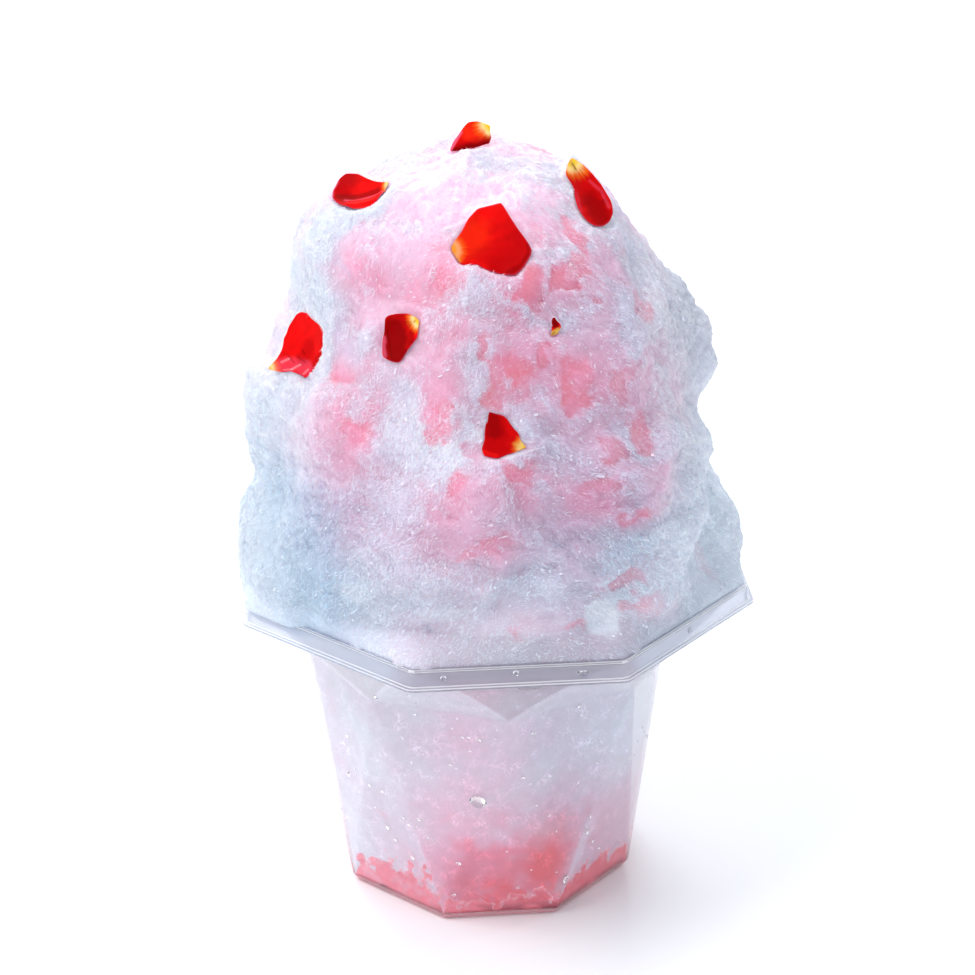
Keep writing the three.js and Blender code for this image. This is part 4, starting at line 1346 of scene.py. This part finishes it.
def heap_material():
    """Snow that lets light in: soaked ice, a grainy frost on top, painted glints, painted shade in pits.

    Fibres lean one way on the left and the other way on the right. The frost shows where its
    share and the grain add up to enough, so that its edges are grains too.
    """
    material = plain_material("shaved_ice", (0.9, 0.9, 0.95, 1), 0.35)
    n = Nodes(material)
    x, _, z = n.parts(n.place)
    felts = []
    for pair in (LEFT_FIBRES, RIGHT_FIBRES):
        fibres = (n.noise(n.stretched(turn, FIBRE_LENGTH), FIBRE_SCALE, 2) for turn in pair)
        felts.append(n.math("MAXIMUM", *fibres))
    side = n.spread(n.math("MULTIPLY_ADD", n.noise(n.place, 60, 2), 0.03, x), 0.0, 0.03)
    felt = n.add_up(n.times(felts[0], n.math("SUBTRACT", 1.0, side)), n.times(felts[1], side))
    grain = n.add_up(felt, n.noise(n.place, 2300, 4, 0.7))
    frost = n.attribute("frost", "Fac")
    cover = n.spread(n.add_up(n.math("SUBTRACT", grain, 1.1), frost), 0.1, 0.9)
    pocket = n.math("MULTIPLY_ADD", n.math("SUBTRACT", 1.1, grain), 1.3, n.attribute("pocket", "Fac"))
    colour = n.mix(cover, n.attribute("tint"), n.attribute("white"))
    colour = n.mix(n.spread(pocket, 0.15, 1.15, 0.0, 0.85), colour, n.attribute("hollow"))
    # the frost's share, which scales the fibre strokes and the painted glints
    frost_and_light_pool = n.spread(frost, 0, 0.6, 0.15, 1)
    strokes = n.times(n.spread(felt, 0.58, 0.7, 0.0, 0.26), frost_and_light_pool)
    # painted glints: bright specks on the frost where crystals would catch the light
    painted_glints = n.times(n.spread(n.noise(n.place, 4400, 0), 0.68, 0.76, 0.0, 0.4), frost_and_light_pool)
    # painted shade: small dark specks in the pits between grains
    painted_pit_shade = n.spread(n.noise(n.place, 1200, 2), 0.22, 0.27, 0.75, 1.0)
    light = n.add_up(n.add_up(n.spread(grain, 0.8, 1.4, 0.93, 1.02), strokes), painted_glints)
    n.tinted(colour, n.times(light, painted_pit_shade))
    n.bump(n.times(grain, n.spread(cover, 0, 1, 0.4, 1.0)), 0.6, 0.0003)
    n.surface(Subsurface_Weight=n.spread(z, 0.084, 0.094, 0.25, 1.0), Subsurface_Scale=0.005,
              Subsurface_Radius=(1.0, 0.8, 0.85), IOR=1.31)
    return material


# %% Materials of the packed ice and the syrup
LEFT_RED, RIGHT_RED = (0.98, 0.29, 0.38, 1), (0.84, 0.16, 0.21, 1)
MOTTLED_RED, BASE_SHADE_RED = (0.95, 0.42, 0.54, 1), (0.34, 0.06, 0.1, 1)
COAST_EDGE = (0.93, 0.62, 0.72, 1)


def stained(n):
    """Ice with islands of syrup under a ragged coast, each with a pale outline.

    The coast is where a height above the syrup's mean edge equals a noise of several sizes. Both
    pieces read the same places, so that the coast runs on from one to the other.
    """
    coast = n.math("SUBTRACT", n.noise(n.place, 170, 6, 0.62), 0.5)
    depth = n.math("SUBTRACT", n.times(coast, 26.0), n.attribute("above", "Fac"))
    x, _, z = n.parts(n.place)
    red = n.mix(n.spread(x, -0.03, 0.02), LEFT_RED, RIGHT_RED)
    mottled = n.times(n.spread(n.noise(n.place, 300, 5, 0.62), 0.45, 0.58, 0.0, 0.75),
                      n.spread(x, -0.02, -0.008, 1.0, 0.25))
    # painted shade: dark red patches low at the base, under the cup's bottom corner
    dark = n.times(n.spread(z, 0.002, 0.0045, 0.85, 0.0), n.spread(n.noise(n.place, 90, 2), 0.5, 0.56))
    red = n.mix(dark, n.mix(mottled, red, MOTTLED_RED), BASE_SHADE_RED)
    colour = n.mix(n.spread(depth, -0.12, 0.12), n.attribute("tint"), red)
    return n.mix(n.spread(n.math("ABSOLUTE", depth), 0.1, 0.6, 0.6, 0.0), colour, COAST_EDGE)


def packed_material():
    """Ice seen through the wall: smooth and wet, with thin pale fibres and a painted highlight on the
    creases.

    A fibre is where a drawn-out noise crosses its middle value.
    """
    material = plain_material("packed_ice", (0.9, 0.9, 0.95, 1), 0.4)
    n = Nodes(material)
    threads = []
    for turn in ((0.2, 0.9, 0.1), (0.5, -0.7, 0.3), (-0.3, 0.2, 0.8)):
        threads.append(n.spread(n.gap(n.noise(n.stretched(turn, 6), 700, 1), 0.5), 0.0, 0.025, 1.0, 0.0))
    thread = n.math("MAXIMUM", n.math("MAXIMUM", *threads[:2]), threads[2])
    thread = n.times(thread, n.spread(n.noise(n.place, 300, 3), 0.45, 0.68, 0.0, 0.4))
    z = n.parts(n.place)[2]
    # painted highlight: a pale line along the crease between the facets above the shoulder
    crease = n.spread(n.math("ABSOLUTE", n.attribute("crease", "Fac")), 0.1, 0.3, 0.22, 0.0)
    crease = n.times(crease, n.spread(z, SHOULDER_HEIGHT * MM, 0.0735))
    cloud = n.spread(n.noise(n.place, 500, 5, 0.65), 0.3, 0.7, 0.89, 0.99)
    n.tinted(stained(n), n.add_up(n.add_up(cloud, crease), thread))
    return material


def syrup_material():
    """Red syrup with islands of melting ice in it."""
    material = plain_material("red_syrup", (0.8, 0.1, 0.12, 1), 0.2)
    n = Nodes(material)
    n.tinted(stained(n), n.spread(n.noise(n.place, 500, 5, 0.65), 0.3, 0.7, 0.86, 1.0))
    return material


finish_piece(ice, heap_material(), "ice", "ice")
finish_piece(packed, packed_material(), "ice", "ice")
finish_piece(syrup, syrup_material(), "syrup", "syrup")

# %% [markdown]
# ## Loose ice
# The blade leaves slivers, needles, flakes and grains. Particles or instances could scatter them,
# but an exported model keeps meshes alone. So each kind is one mesh: a small closed shape is
# copied thousands of times as arrays, each copy stretched, bent and turned. The copies lie along
# the surface, mostly in the direction of their neighbours, and stand up a little.

# %% Places for the loose ice


def clear_of_petals(spots):
    """1 for spots that no petal covers and 0 for spots under or beside one."""
    clear = np.ones(len(spots))
    for petal in PETALS.values():
        axes, middle = petal_axes(petal)
        local = (spots - middle) @ axes.T
        margin = np.where(local[:, 1] < 0, petal.get("sunk", 0.7), 0.6)
        near = (np.hypot(local[:, 0], local[:, 1]) < 14) & (np.abs(local[:, 2]) < 6)
        if near.any():
            away = outline_distance(soft_outline(petal["outline"], 2), local[near][:, :2])
            clear[near] *= away > margin[near]
    return clear


def surface_spots(count, draw, bare):
    """Random spots on the heap, their normals and tints; bare is the share where no frost lies.

    A face is drawn with a chance of its area times its frost, and a spot on it by two shares.
    """
    quads = ice_faces[0]
    corners = ice_points[quads]
    cross = np.cross(corners[:, 2] - corners[:, 0], corners[:, 3] - corners[:, 1])
    area = np.linalg.norm(cross, axis=1)
    normals = cross / np.maximum(area, 1e-9)[:, None]
    heights = corners[:, :, 2].mean(1)
    chance = area * (bare + frost[quads].mean(1)) * (1.05 - pockets[quads].mean(1))
    chance = np.where(heights > CUP_HEIGHT + 0.3, chance, 0) * clear_of_petals(corners.mean(1))
    picked = draw.choice(len(quads), count, p=chance / chance.sum())
    share = draw.random((2, count, 1))
    left = corners[picked, 0] * (1 - share[0]) + corners[picked, 1] * share[0]
    beside = corners[picked, 3] * (1 - share[0]) + corners[picked, 2] * share[0]
    spots = left * (1 - share[1]) + beside * share[1]
    return spots, normals[picked], heap_tints[quads[picked, 0]]


def lay(draw, spots, normals, lift, swing, tilt):
    """Lifted spots, with three axes for each: along the sheet's grain, across it and outward.

    The grain is a diagonal that noise swings about; swing and tilt are how far, in radians, a
    copy strays from it along the surface and out of it.
    """
    side = ramp(spots[:, 0], -6, 14)
    grain = np.stack([0.6 + 0.22 * side, noise(spots, 12, 51) * 0.5, 0.8 - 1.35 * side], -1)
    turn = noise(spots, 10, 53) * 0.9 + draw.normal(0, swing, len(spots))
    along = grain - (grain * normals).sum(1)[:, None] * normals
    along /= np.linalg.norm(along, axis=1)[:, None]
    beside = np.cross(normals, along)
    along = along * np.cos(turn)[:, None] + beside * np.sin(turn)[:, None]
    beside = np.cross(normals, along)
    rise, roll = draw.normal(0, tilt, (2, len(spots), 1))
    along, out = along * np.cos(rise) + normals * np.sin(rise), normals * np.cos(rise) - along * np.sin(rise)
    beside, out = beside * np.cos(roll) + out * np.sin(roll), out * np.cos(roll) - beside * np.sin(roll)
    return spots + normals * lift, along, beside, out


def scatter(name, template, faces, sizes, spots, axes, tints, bend=None):
    """One mesh from many copies of a template.

    A copy's points are the template's times its sizes, raised by bend x ** 2, along its axes.
    """
    local = template * sizes[:, None]
    if bend is not None:
        local[..., 2] += bend[:, None] * local[..., 0] ** 2
    placed = spots[:, None] + sum(local[..., k:k + 1] * axes[k][:, None] for k in range(3))
    placed[..., :2] = np.clip(placed[..., :2], -HEAP_LIMIT, HEAP_LIMIT)
    count, each = len(spots), template.shape[-2]
    all_faces = (faces[None] + (np.arange(count) * each)[:, None, None]).reshape(-1, faces.shape[1])
    piece = mesh_piece(name, placed.reshape(-1, 3), [all_faces], smooth=False)
    point_colours(piece, "tint", np.repeat(tints, each, axis=0))
    return finish_piece(piece, crystal, "ice")


# %% Crystal material and template


def crystal_material():
    """A frosted chip of ice: pale all through, with faces that glint."""
    material = plain_material("ice_crystal", (0.95, 0.96, 1, 1), 0.16)
    n = Nodes(material)
    n.surface(Base_Color=n.attribute("tint"), IOR=1.31, Specular_IOR_Level=0.9)
    return material


crystal = crystal_material()


def double_cone(sides, sink=0.0):
    """Points and faces of a ring with a tip at each end, along the x axis, length and width 1."""
    angles = np.arange(sides) * 2 * np.pi / sides
    ring_points = np.stack([np.full(sides, sink), np.cos(angles) / 2, np.sin(angles) / 2], -1)
    points = np.concatenate([[[-0.5, 0, 0]], ring_points, [[0.5, 0, 0]]])
    i = np.arange(sides)
    j = (i + 1) % sides
    back_faces = np.stack([np.zeros(sides, int), 1 + j, 1 + i], -1)
    front_faces = np.stack([np.full(sides, sides + 1), 1 + i, 1 + j], -1)
    return points, np.concatenate([back_faces, front_faces])


def paler(tints, draw):
    """Tints moved toward a paler shade of themselves, each by its own share."""
    return blend(tints, tints * 0.3 + CLEAN * 0.8, draw.beta(2, 2, len(tints)))


# %% Slivers, flakes and grains


def make_slivers(name, seed, length, width, count=33000):
    """Thin double cones that lie along the surface, with a mean length and width in mm."""
    draw = np.random.default_rng(seed)
    spots, normals, tints = surface_spots(count, draw, 0.25)
    spots, *axes = lay(draw, spots, normals, draw.uniform(0.02, 0.14, (count, 1)), 0.45, 0.16)
    lengths = (draw.gamma(3, 0.22, count) + 0.34) * length
    widths = draw.uniform(0.65, 1.35, count) * width
    points, faces = double_cone(3, 0.15)
    sizes = np.stack([lengths, widths * 1.4, widths * 0.5], -1)
    return scatter(name, points, faces, sizes, spots, axes, paler(tints, draw))


def make_grains(count=24500):
    """Small lumps, 0.15 to 0.4 mm wide, thickest where frost lies."""
    draw = np.random.default_rng(62)
    spots, normals, tints = surface_spots(count, draw, 0.2)
    spots, *axes = lay(draw, spots, normals, draw.uniform(-0.02, 0.08, (count, 1)), 3, 0.4)
    sizes = draw.uniform(0.16, 0.4, (count, 1)) * draw.uniform(0.6, 1.3, (count, 3)) * [1, 1, 0.6]
    points, faces = double_cone(4)
    return scatter("ice_grains", points, faces, sizes, spots, axes, paler(tints, draw))


def make_flakes(count=6000):
    """Thin ragged plates, 0.3 to 1.6 mm across, bent like shavings."""
    draw = np.random.default_rng(63)
    spots, normals, tints = surface_spots(count, draw, 0.15)
    spots, *axes = lay(draw, spots, normals, draw.uniform(0, 0.14, (count, 1)), 0.5, 0.22)
    sides = 7
    ring_points, faces = double_cone(sides)
    points = np.repeat(ring_points[None], count, 0)[..., [1, 2, 0]]
    points[:, 1:-1] *= draw.uniform(0.5, 1.3, (count, sides, 1))
    sizes = np.stack([draw.gamma(3, 0.2, count) + 0.35, draw.gamma(3, 0.09, count) + 0.15,
                      draw.uniform(0.04, 0.09, count)], -1)
    bend = draw.normal(0, 0.12, count)
    return scatter("ice_flakes", points, faces, sizes, spots, axes, paler(tints, draw), bend)


make_slivers("ice_slivers", 61, 1.4, 0.14)
make_slivers("ice_needles", 64, 0.9, 0.09)
make_grains()
make_flakes()

# %% [markdown]
# ## The clear cup
# The cup is pressed from thin sheet, so it has an inside and an outside and its folds are
# slightly round. A Solidify modifier would give the sheet its thickness, but the inside here
# isn't the outside moved in: so rings of points are listed up the outside and down the inside,
# and triangles join each ring to the next. A Bevel modifier rounds every fold alike.

# %% Rings and the faces between them


def ring(radius, height, turned=False, corner=0.0, steps=5):
    """Points of an eight-sided ring, with an arc of a corner radius at each corner if given."""
    angles = SIDES - (0 if turned else np.radians(22.5))
    if corner == 0:
        return np.stack([radius * np.cos(angles), radius * np.sin(angles), np.full(8, float(height))], -1)
    inset = radius - corner / LEAN
    swing = np.radians(np.linspace(-22.5, 22.5, steps))
    x = inset * np.cos(angles)[:, None] + corner * np.cos(angles[:, None] + swing)
    y = inset * np.sin(angles)[:, None] + corner * np.sin(angles[:, None] + swing)
    return np.stack([x.ravel(), y.ravel(), np.full(x.size, float(height))], -1)


def zip_rings(rings):
    """Triangles between rings of different counts, ordered by the angles of their edges.

    Each edge of one ring reaches to the point of the other that lies next after its middle.
    """
    faces, start = [], 0
    for lower, upper in itertools.pairwise(rings):
        above = start + len(lower)
        middles = []
        for loop in (lower, upper):
            angle = np.unwrap(np.arctan2(loop[:, 1], loop[:, 0]), period=2 * np.pi)
            ahead = np.append(angle[1:], angle[0] + 2 * np.pi)
            middles.append((angle + ahead) / 2 % (2 * np.pi))
        n, m = len(lower), len(upper)
        ahead = (middles[1][None] - middles[0][:, None] - 1e-9) % (2 * np.pi)
        behind = (middles[0][None] - middles[1][:, None] + 1e-9) % (2 * np.pi)
        apex, foot = ahead.argmin(1), behind.argmin(1)
        i, j = np.arange(n), np.arange(m)
        faces.append(np.stack([start + i, start + (i + 1) % n, above + apex], -1))
        faces.append(np.stack([above + (j + 1) % m, above + j, start + foot], -1))
        start = above
    return np.concatenate(faces)


# %% The cup as a mesh
FOOT_WIDTH = 3.7
SKIRT_TOP, SKIRT_BOTTOM = CUP_HEIGHT - 1.4, CUP_HEIGHT - 4.8
FOLD_WIDTH, FOLD_ANGLE = 0.45, np.radians(7)
rounded = dict(corner=3)                            # radius of the rim's eight corners
outer_rings = [
    ring(0.5, PANEL_RISE), ring(FOOT_RADIUS - FOOT_WIDTH - 2, PANEL_RISE),
    ring(FOOT_RADIUS - FOOT_WIDTH, 0), ring(FOOT_RADIUS, 0), ring(BASE_RADIUS, BASE_HEIGHT),
    ring(SHOULDER_RADIUS, SHOULDER_HEIGHT, turned=True),
    ring(LEDGE_INNER - 0.2, SKIRT_TOP, **rounded), ring(LEDGE_OUTER - 1, SKIRT_TOP, **rounded),
    ring(LEDGE_OUTER - 0.6, SKIRT_BOTTOM, **rounded), ring(FLANGE_RADIUS, SKIRT_BOTTOM, **rounded),
    ring(FLANGE_RADIUS, SKIRT_BOTTOM + WALL, **rounded),
    ring(LEDGE_OUTER + 0.5, SKIRT_BOTTOM + WALL, **rounded),
    ring(LEDGE_OUTER, CUP_HEIGHT - 0.4, **rounded), ring(LEDGE_OUTER - 0.4, CUP_HEIGHT, **rounded),
]
inner_rings = [
    ring(LEDGE_INNER, CUP_HEIGHT, **rounded), ring(LEDGE_INNER - 0.4, CUP_HEIGHT - 0.4, **rounded),
    ring(SHOULDER_RADIUS - 1, SHOULDER_HEIGHT + 0.2, turned=True),
    ring(BASE_RADIUS - 0.9, BASE_HEIGHT + 0.2), ring(FOOT_RADIUS - 0.6, FLOOR_HEIGHT),
    ring(FOOT_RADIUS - FOOT_WIDTH + 0.4, FLOOR_HEIGHT),
    ring(FOOT_RADIUS - FOOT_WIDTH - 1.6, PANEL_RISE + WALL), ring(0.5, PANEL_RISE + WALL),
]
rings = outer_rings + inner_rings
cup_points = np.concatenate([[[0, 0, PANEL_RISE]], *rings, [[0, 0, PANEL_RISE + WALL]]])
last = len(cup_points) - 1
eight = np.arange(8)
under = np.stack([np.zeros(8, int), 1 + (eight + 1) % 8, 1 + eight], -1)
over = np.stack([last - 8 + eight, last - 8 + (eight + 1) % 8, np.full(8, last)], -1)
cup = mesh_piece("clear_cup", cup_points, [zip_rings(rings) + 1, under, over])
bevel = cup.modifiers.new("fold rounding", "BEVEL")
bevel.width = FOLD_WIDTH * MM
bevel.segments = 3
bevel.limit_method = "ANGLE"
bevel.angle_limit = FOLD_ANGLE
bevel.harden_normals = False
print(f"cup: {len(rings)} rings, {len(cup_points)} points")

# %% [markdown]
# ## Plastic
# Clear plastic nearly vanishes on a bright floor, and the eye finds it by its folds, its rim and
# its reflections. A true index of refraction would bend the ice behind it far too much for so
# thin a sheet, so a low one is used, with a glossy coat. The plastic turns a little milky at the
# rim and at the foot, where it also takes the syrup's colour. The folds of the rim and the inside
# of the rim get a painted white highlight.

# %% Plastic material
WHITE, FOLD_TINT = (1, 1, 1, 1), (0.97, 0.98, 1, 1)
RIM_FRONT, RIM_SIDES = (0.58, 0.56, 0.64, 1), (0.68, 0.72, 0.82, 1)
FOOT_TINT = (0.97, 0.4, 0.48, 1)
RIM_MILK, FOOT_MILK, FOLD_HIGHLIGHT = 0.38, 0.75, 0.9


def clear_material(name, ior, roughness):
    """Clear plastic or water: light passes and bends, with sharp reflections."""
    material = plain_material(name, WHITE, roughness)
    Nodes(material).surface(Transmission_Weight=1, IOR=ior)
    return material


def plastic_material():
    """Clear plastic, milky at its rim and foot, with painted white highlights on the rim's folds.

    On a fold of the rim the normal points neither up nor sideways, so its z is near 0.66. The
    product of normal and place is above zero on the outside and below it on the inside.
    """
    material = clear_material("clear_plastic", 1.12, 0.08)
    n = Nodes(material)
    _, y, z = n.parts(n.place)
    normal = n.add("ShaderNodeNewGeometry").outputs["Normal"]
    outward = n.add("ShaderNodeVectorMath", {0: normal, 1: n.place}, operation="DOT_PRODUCT").outputs["Value"]
    # painted highlight: white on the folds of the rim
    fold = n.spread(n.gap(n.parts(normal)[2], 0.66), 0.27, 0.33, 0.8, 0.0)
    fold = n.times(n.times(fold, n.spread(z, 0.0784, 0.0787)), n.spread(outward, -0.005, 0.005))
    # painted highlight: white inside the rim, at its top
    inside = n.times(n.spread(z, 0.0808, 0.0816, 0.0, 0.85), n.spread(outward, -0.003, 0.003, 1.0, 0.0))
    fold = n.math("MAXIMUM", fold, inside)
    rim = n.spread(z, 0.0768, 0.0778)
    foot = n.spread(z, 0.0012, 0.0022, 1.0, 0.0)
    rim_tint = n.mix(n.spread(y, -0.0575, -0.0535), RIM_FRONT, RIM_SIDES)
    tint = n.mix(foot, n.mix(rim, WHITE, rim_tint), FOOT_TINT)
    milk_and_highlight = n.add_up(n.times(rim, RIM_MILK), n.times(foot, FOOT_MILK))
    milk_and_highlight = n.math("MAXIMUM", milk_and_highlight, n.times(fold, FOLD_HIGHLIGHT))
    n.surface(Base_Color=n.mix(fold, tint, FOLD_TINT), Transmission_Weight=n.math("SUBTRACT", 1.0, milk_and_highlight),
              Coat_Weight=0.7, Coat_Roughness=0.12, Alpha=n.spread(rim, 0, 1, 0.6, 0.9))
    return material


finish_piece(cup, plastic_material(), "clear_plastic", "cup")

# %% [markdown]
# ## Water drops
# The cup is cold, so water from the air settles on it in drops. A drop is half of a flat ball that
# sits on a facet's plane. Metaballs would let drops run together, but these are few and lie
# apart, so one dome is copied as arrays. The large ones are listed one by one and a seeded draw
# adds fine ones.

# %% Places of the drops
# compass, height, half width and half height in mm
DROPS = [
    (-99.4, 36.5, 2.1, 1.6), (-86.1, 74.5, 3.4, 1.5), (-106.1, 81.1, 0.7, 0.7), (-90.6, 81.5, 0.7, 0.7),
    (-76.1, 80.8, 1.2, 0.7), (-44.7, 80.8, 0.7, 0.8), (-65.2, 9.9, 0.8, 1.2), (-124.9, 16.1, 0.7, 0.7),
    (-106.4, 17.7, 0.7, 0.6), (-108.2, 8, 0.5, 0.5), (-135.6, 22.3, 0.7, 0.7), (-154.6, 31.8, 0.5, 0.9),
    (-84.7, 43.1, 0.5, 0.5), (-82.1, 40.9, 0.4, 0.4), (-109, 45.5, 0.4, 0.4), (-102.1, 50.3, 0.3, 0.3),
    (-99.2, 53.8, 0.5, 0.5), (-104.8, 53.9, 0.5, 0.4), (-102.8, 54.1, 0.4, 0.4), (-93.8, 54.8, 0.3, 0.3),
    (-121.1, 58.2, 0.4, 0.4), (-122.7, 44.6, 0.3, 0.3), (-131.1, 63.3, 0.8, 0.6), (-135.5, 33.2, 0.5, 0.5),
    (-141.3, 33.4, 0.5, 0.5), (-56.7, 21.8, 0.7, 0.8), (-52.1, 17.4, 0.5, 0.5), (-46.7, 13.5, 0.5, 0.5),
    (-81.4, 55.1, 0.8, 0.6), (-64.5, 59.2, 0.6, 0.5), (-132.4, 19.5, 0.5, 0.6), (-117.8, 23.8, 0.4, 0.4),
]
FINE_DROPS = 170
FINE_BAND = (8, 76)                                # heights in mm
# Lower and upper ring of each band of the outside: height, distance to sides, distance to corners
BANDS = np.array([
    [(BASE_HEIGHT, BASE_RADIUS * LEAN, BASE_RADIUS),
     (SHOULDER_HEIGHT, SHOULDER_RADIUS, SHOULDER_RADIUS * LEAN)],
    [(SHOULDER_HEIGHT, SHOULDER_RADIUS, SHOULDER_RADIUS * LEAN),
     (SKIRT_TOP, (LEDGE_INNER - 0.2) * LEAN, LEDGE_INNER - 0.2)],
    [(SKIRT_BOTTOM + WALL, (LEDGE_OUTER + 0.5) * LEAN, LEDGE_OUTER + 0.5),
     (CUP_HEIGHT - 0.4, LEDGE_OUTER * LEAN, LEDGE_OUTER)],
])


def outer_wall(compass, height):
    """Points on the cup's outside and their normals, from compass angles and heights.

    A facet's plane stands d = d0 + k (z - z0) from the axis, and the nearest one counts. Its
    normal is (cos side, sin side, -k), made one long.
    """
    lower, upper = BANDS[np.digitize(height, [SHOULDER_HEIGHT, SKIRT_BOTTOM + WALL])].transpose(1, 0, 2)
    facing, kind = np.concatenate([SIDES, CORNERS]), np.repeat([1, 2], 8)
    slope = (upper[:, kind] - lower[:, kind]) / (upper[:, :1] - lower[:, :1])
    away = lower[:, kind] + slope * (height[:, None] - lower[:, :1])
    toward = np.cos(compass[:, None] - facing)
    reach = np.where(toward > 0.5, away / np.maximum(toward, 0.5), np.inf)
    nearest = reach.argmin(1)
    slope = slope[np.arange(len(height)), nearest]
    normals = np.stack([np.cos(facing[nearest]), np.sin(facing[nearest]), -slope], -1)
    points = np.stack([reach.min(1) * np.cos(compass), reach.min(1) * np.sin(compass), height], -1)
    return points, normals / np.linalg.norm(normals, axis=1)[:, None]


# %% Drops as a mesh
DOME_COLUMNS, DOME_ANGLES = 14, np.radians([18, 36, 54, 72, 90])
DOME_HEIGHT = 0.55                                 # thickness by the smaller half width


def drop_piece():
    """One mesh of domes: rings at angles from the top, closed by a flat underside.

    A ring at angle a has the radius sin a and the height cos a, times the drop's sizes.
    """
    draw = np.random.default_rng(71)
    fine = np.stack([draw.uniform(-180, 180, FINE_DROPS), draw.uniform(*FINE_BAND, FINE_DROPS),
                     *np.tile(draw.gamma(2, 0.08, FINE_DROPS) + 0.12, (2, 1))], -1)
    compass, height, wide, tall = np.concatenate([DROPS, fine]).T
    spots, normals = outer_wall(np.radians(compass), height)
    across = np.cross([0, 0, 1], normals)
    across /= np.linalg.norm(across, axis=1)[:, None]
    upward = np.cross(normals, across)
    angles = DOME_ANGLES[:, None]
    turns = np.arange(DOME_COLUMNS) * 2 * np.pi / DOME_COLUMNS
    rows = np.stack([np.sin(angles) * np.cos(turns), np.sin(angles) * np.sin(turns),
                     np.broadcast_to(np.cos(angles), (len(angles), DOME_COLUMNS))], -1)
    dome = np.concatenate([[[0, 0, 1]], rows.reshape(-1, 3), [[0, 0, 0]]])
    local = dome * np.stack([wide, tall, np.minimum(wide, tall) * DOME_HEIGHT], -1)[:, None]
    points = spots[:, None] + sum(
        local[..., k:k + 1] * axis[:, None] for k, axis in enumerate((across, upward, normals)))
    first = (np.arange(len(spots)) * len(dome))[:, None, None]
    faces = [(f[None] + first).reshape(-1, f.shape[1]) for f in closed_rows(len(angles), DOME_COLUMNS)]
    return mesh_piece("water_drops", points.reshape(-1, 3), faces)


finish_piece(drop_piece(), clear_material("water", 1.33, 0.0), "ice")
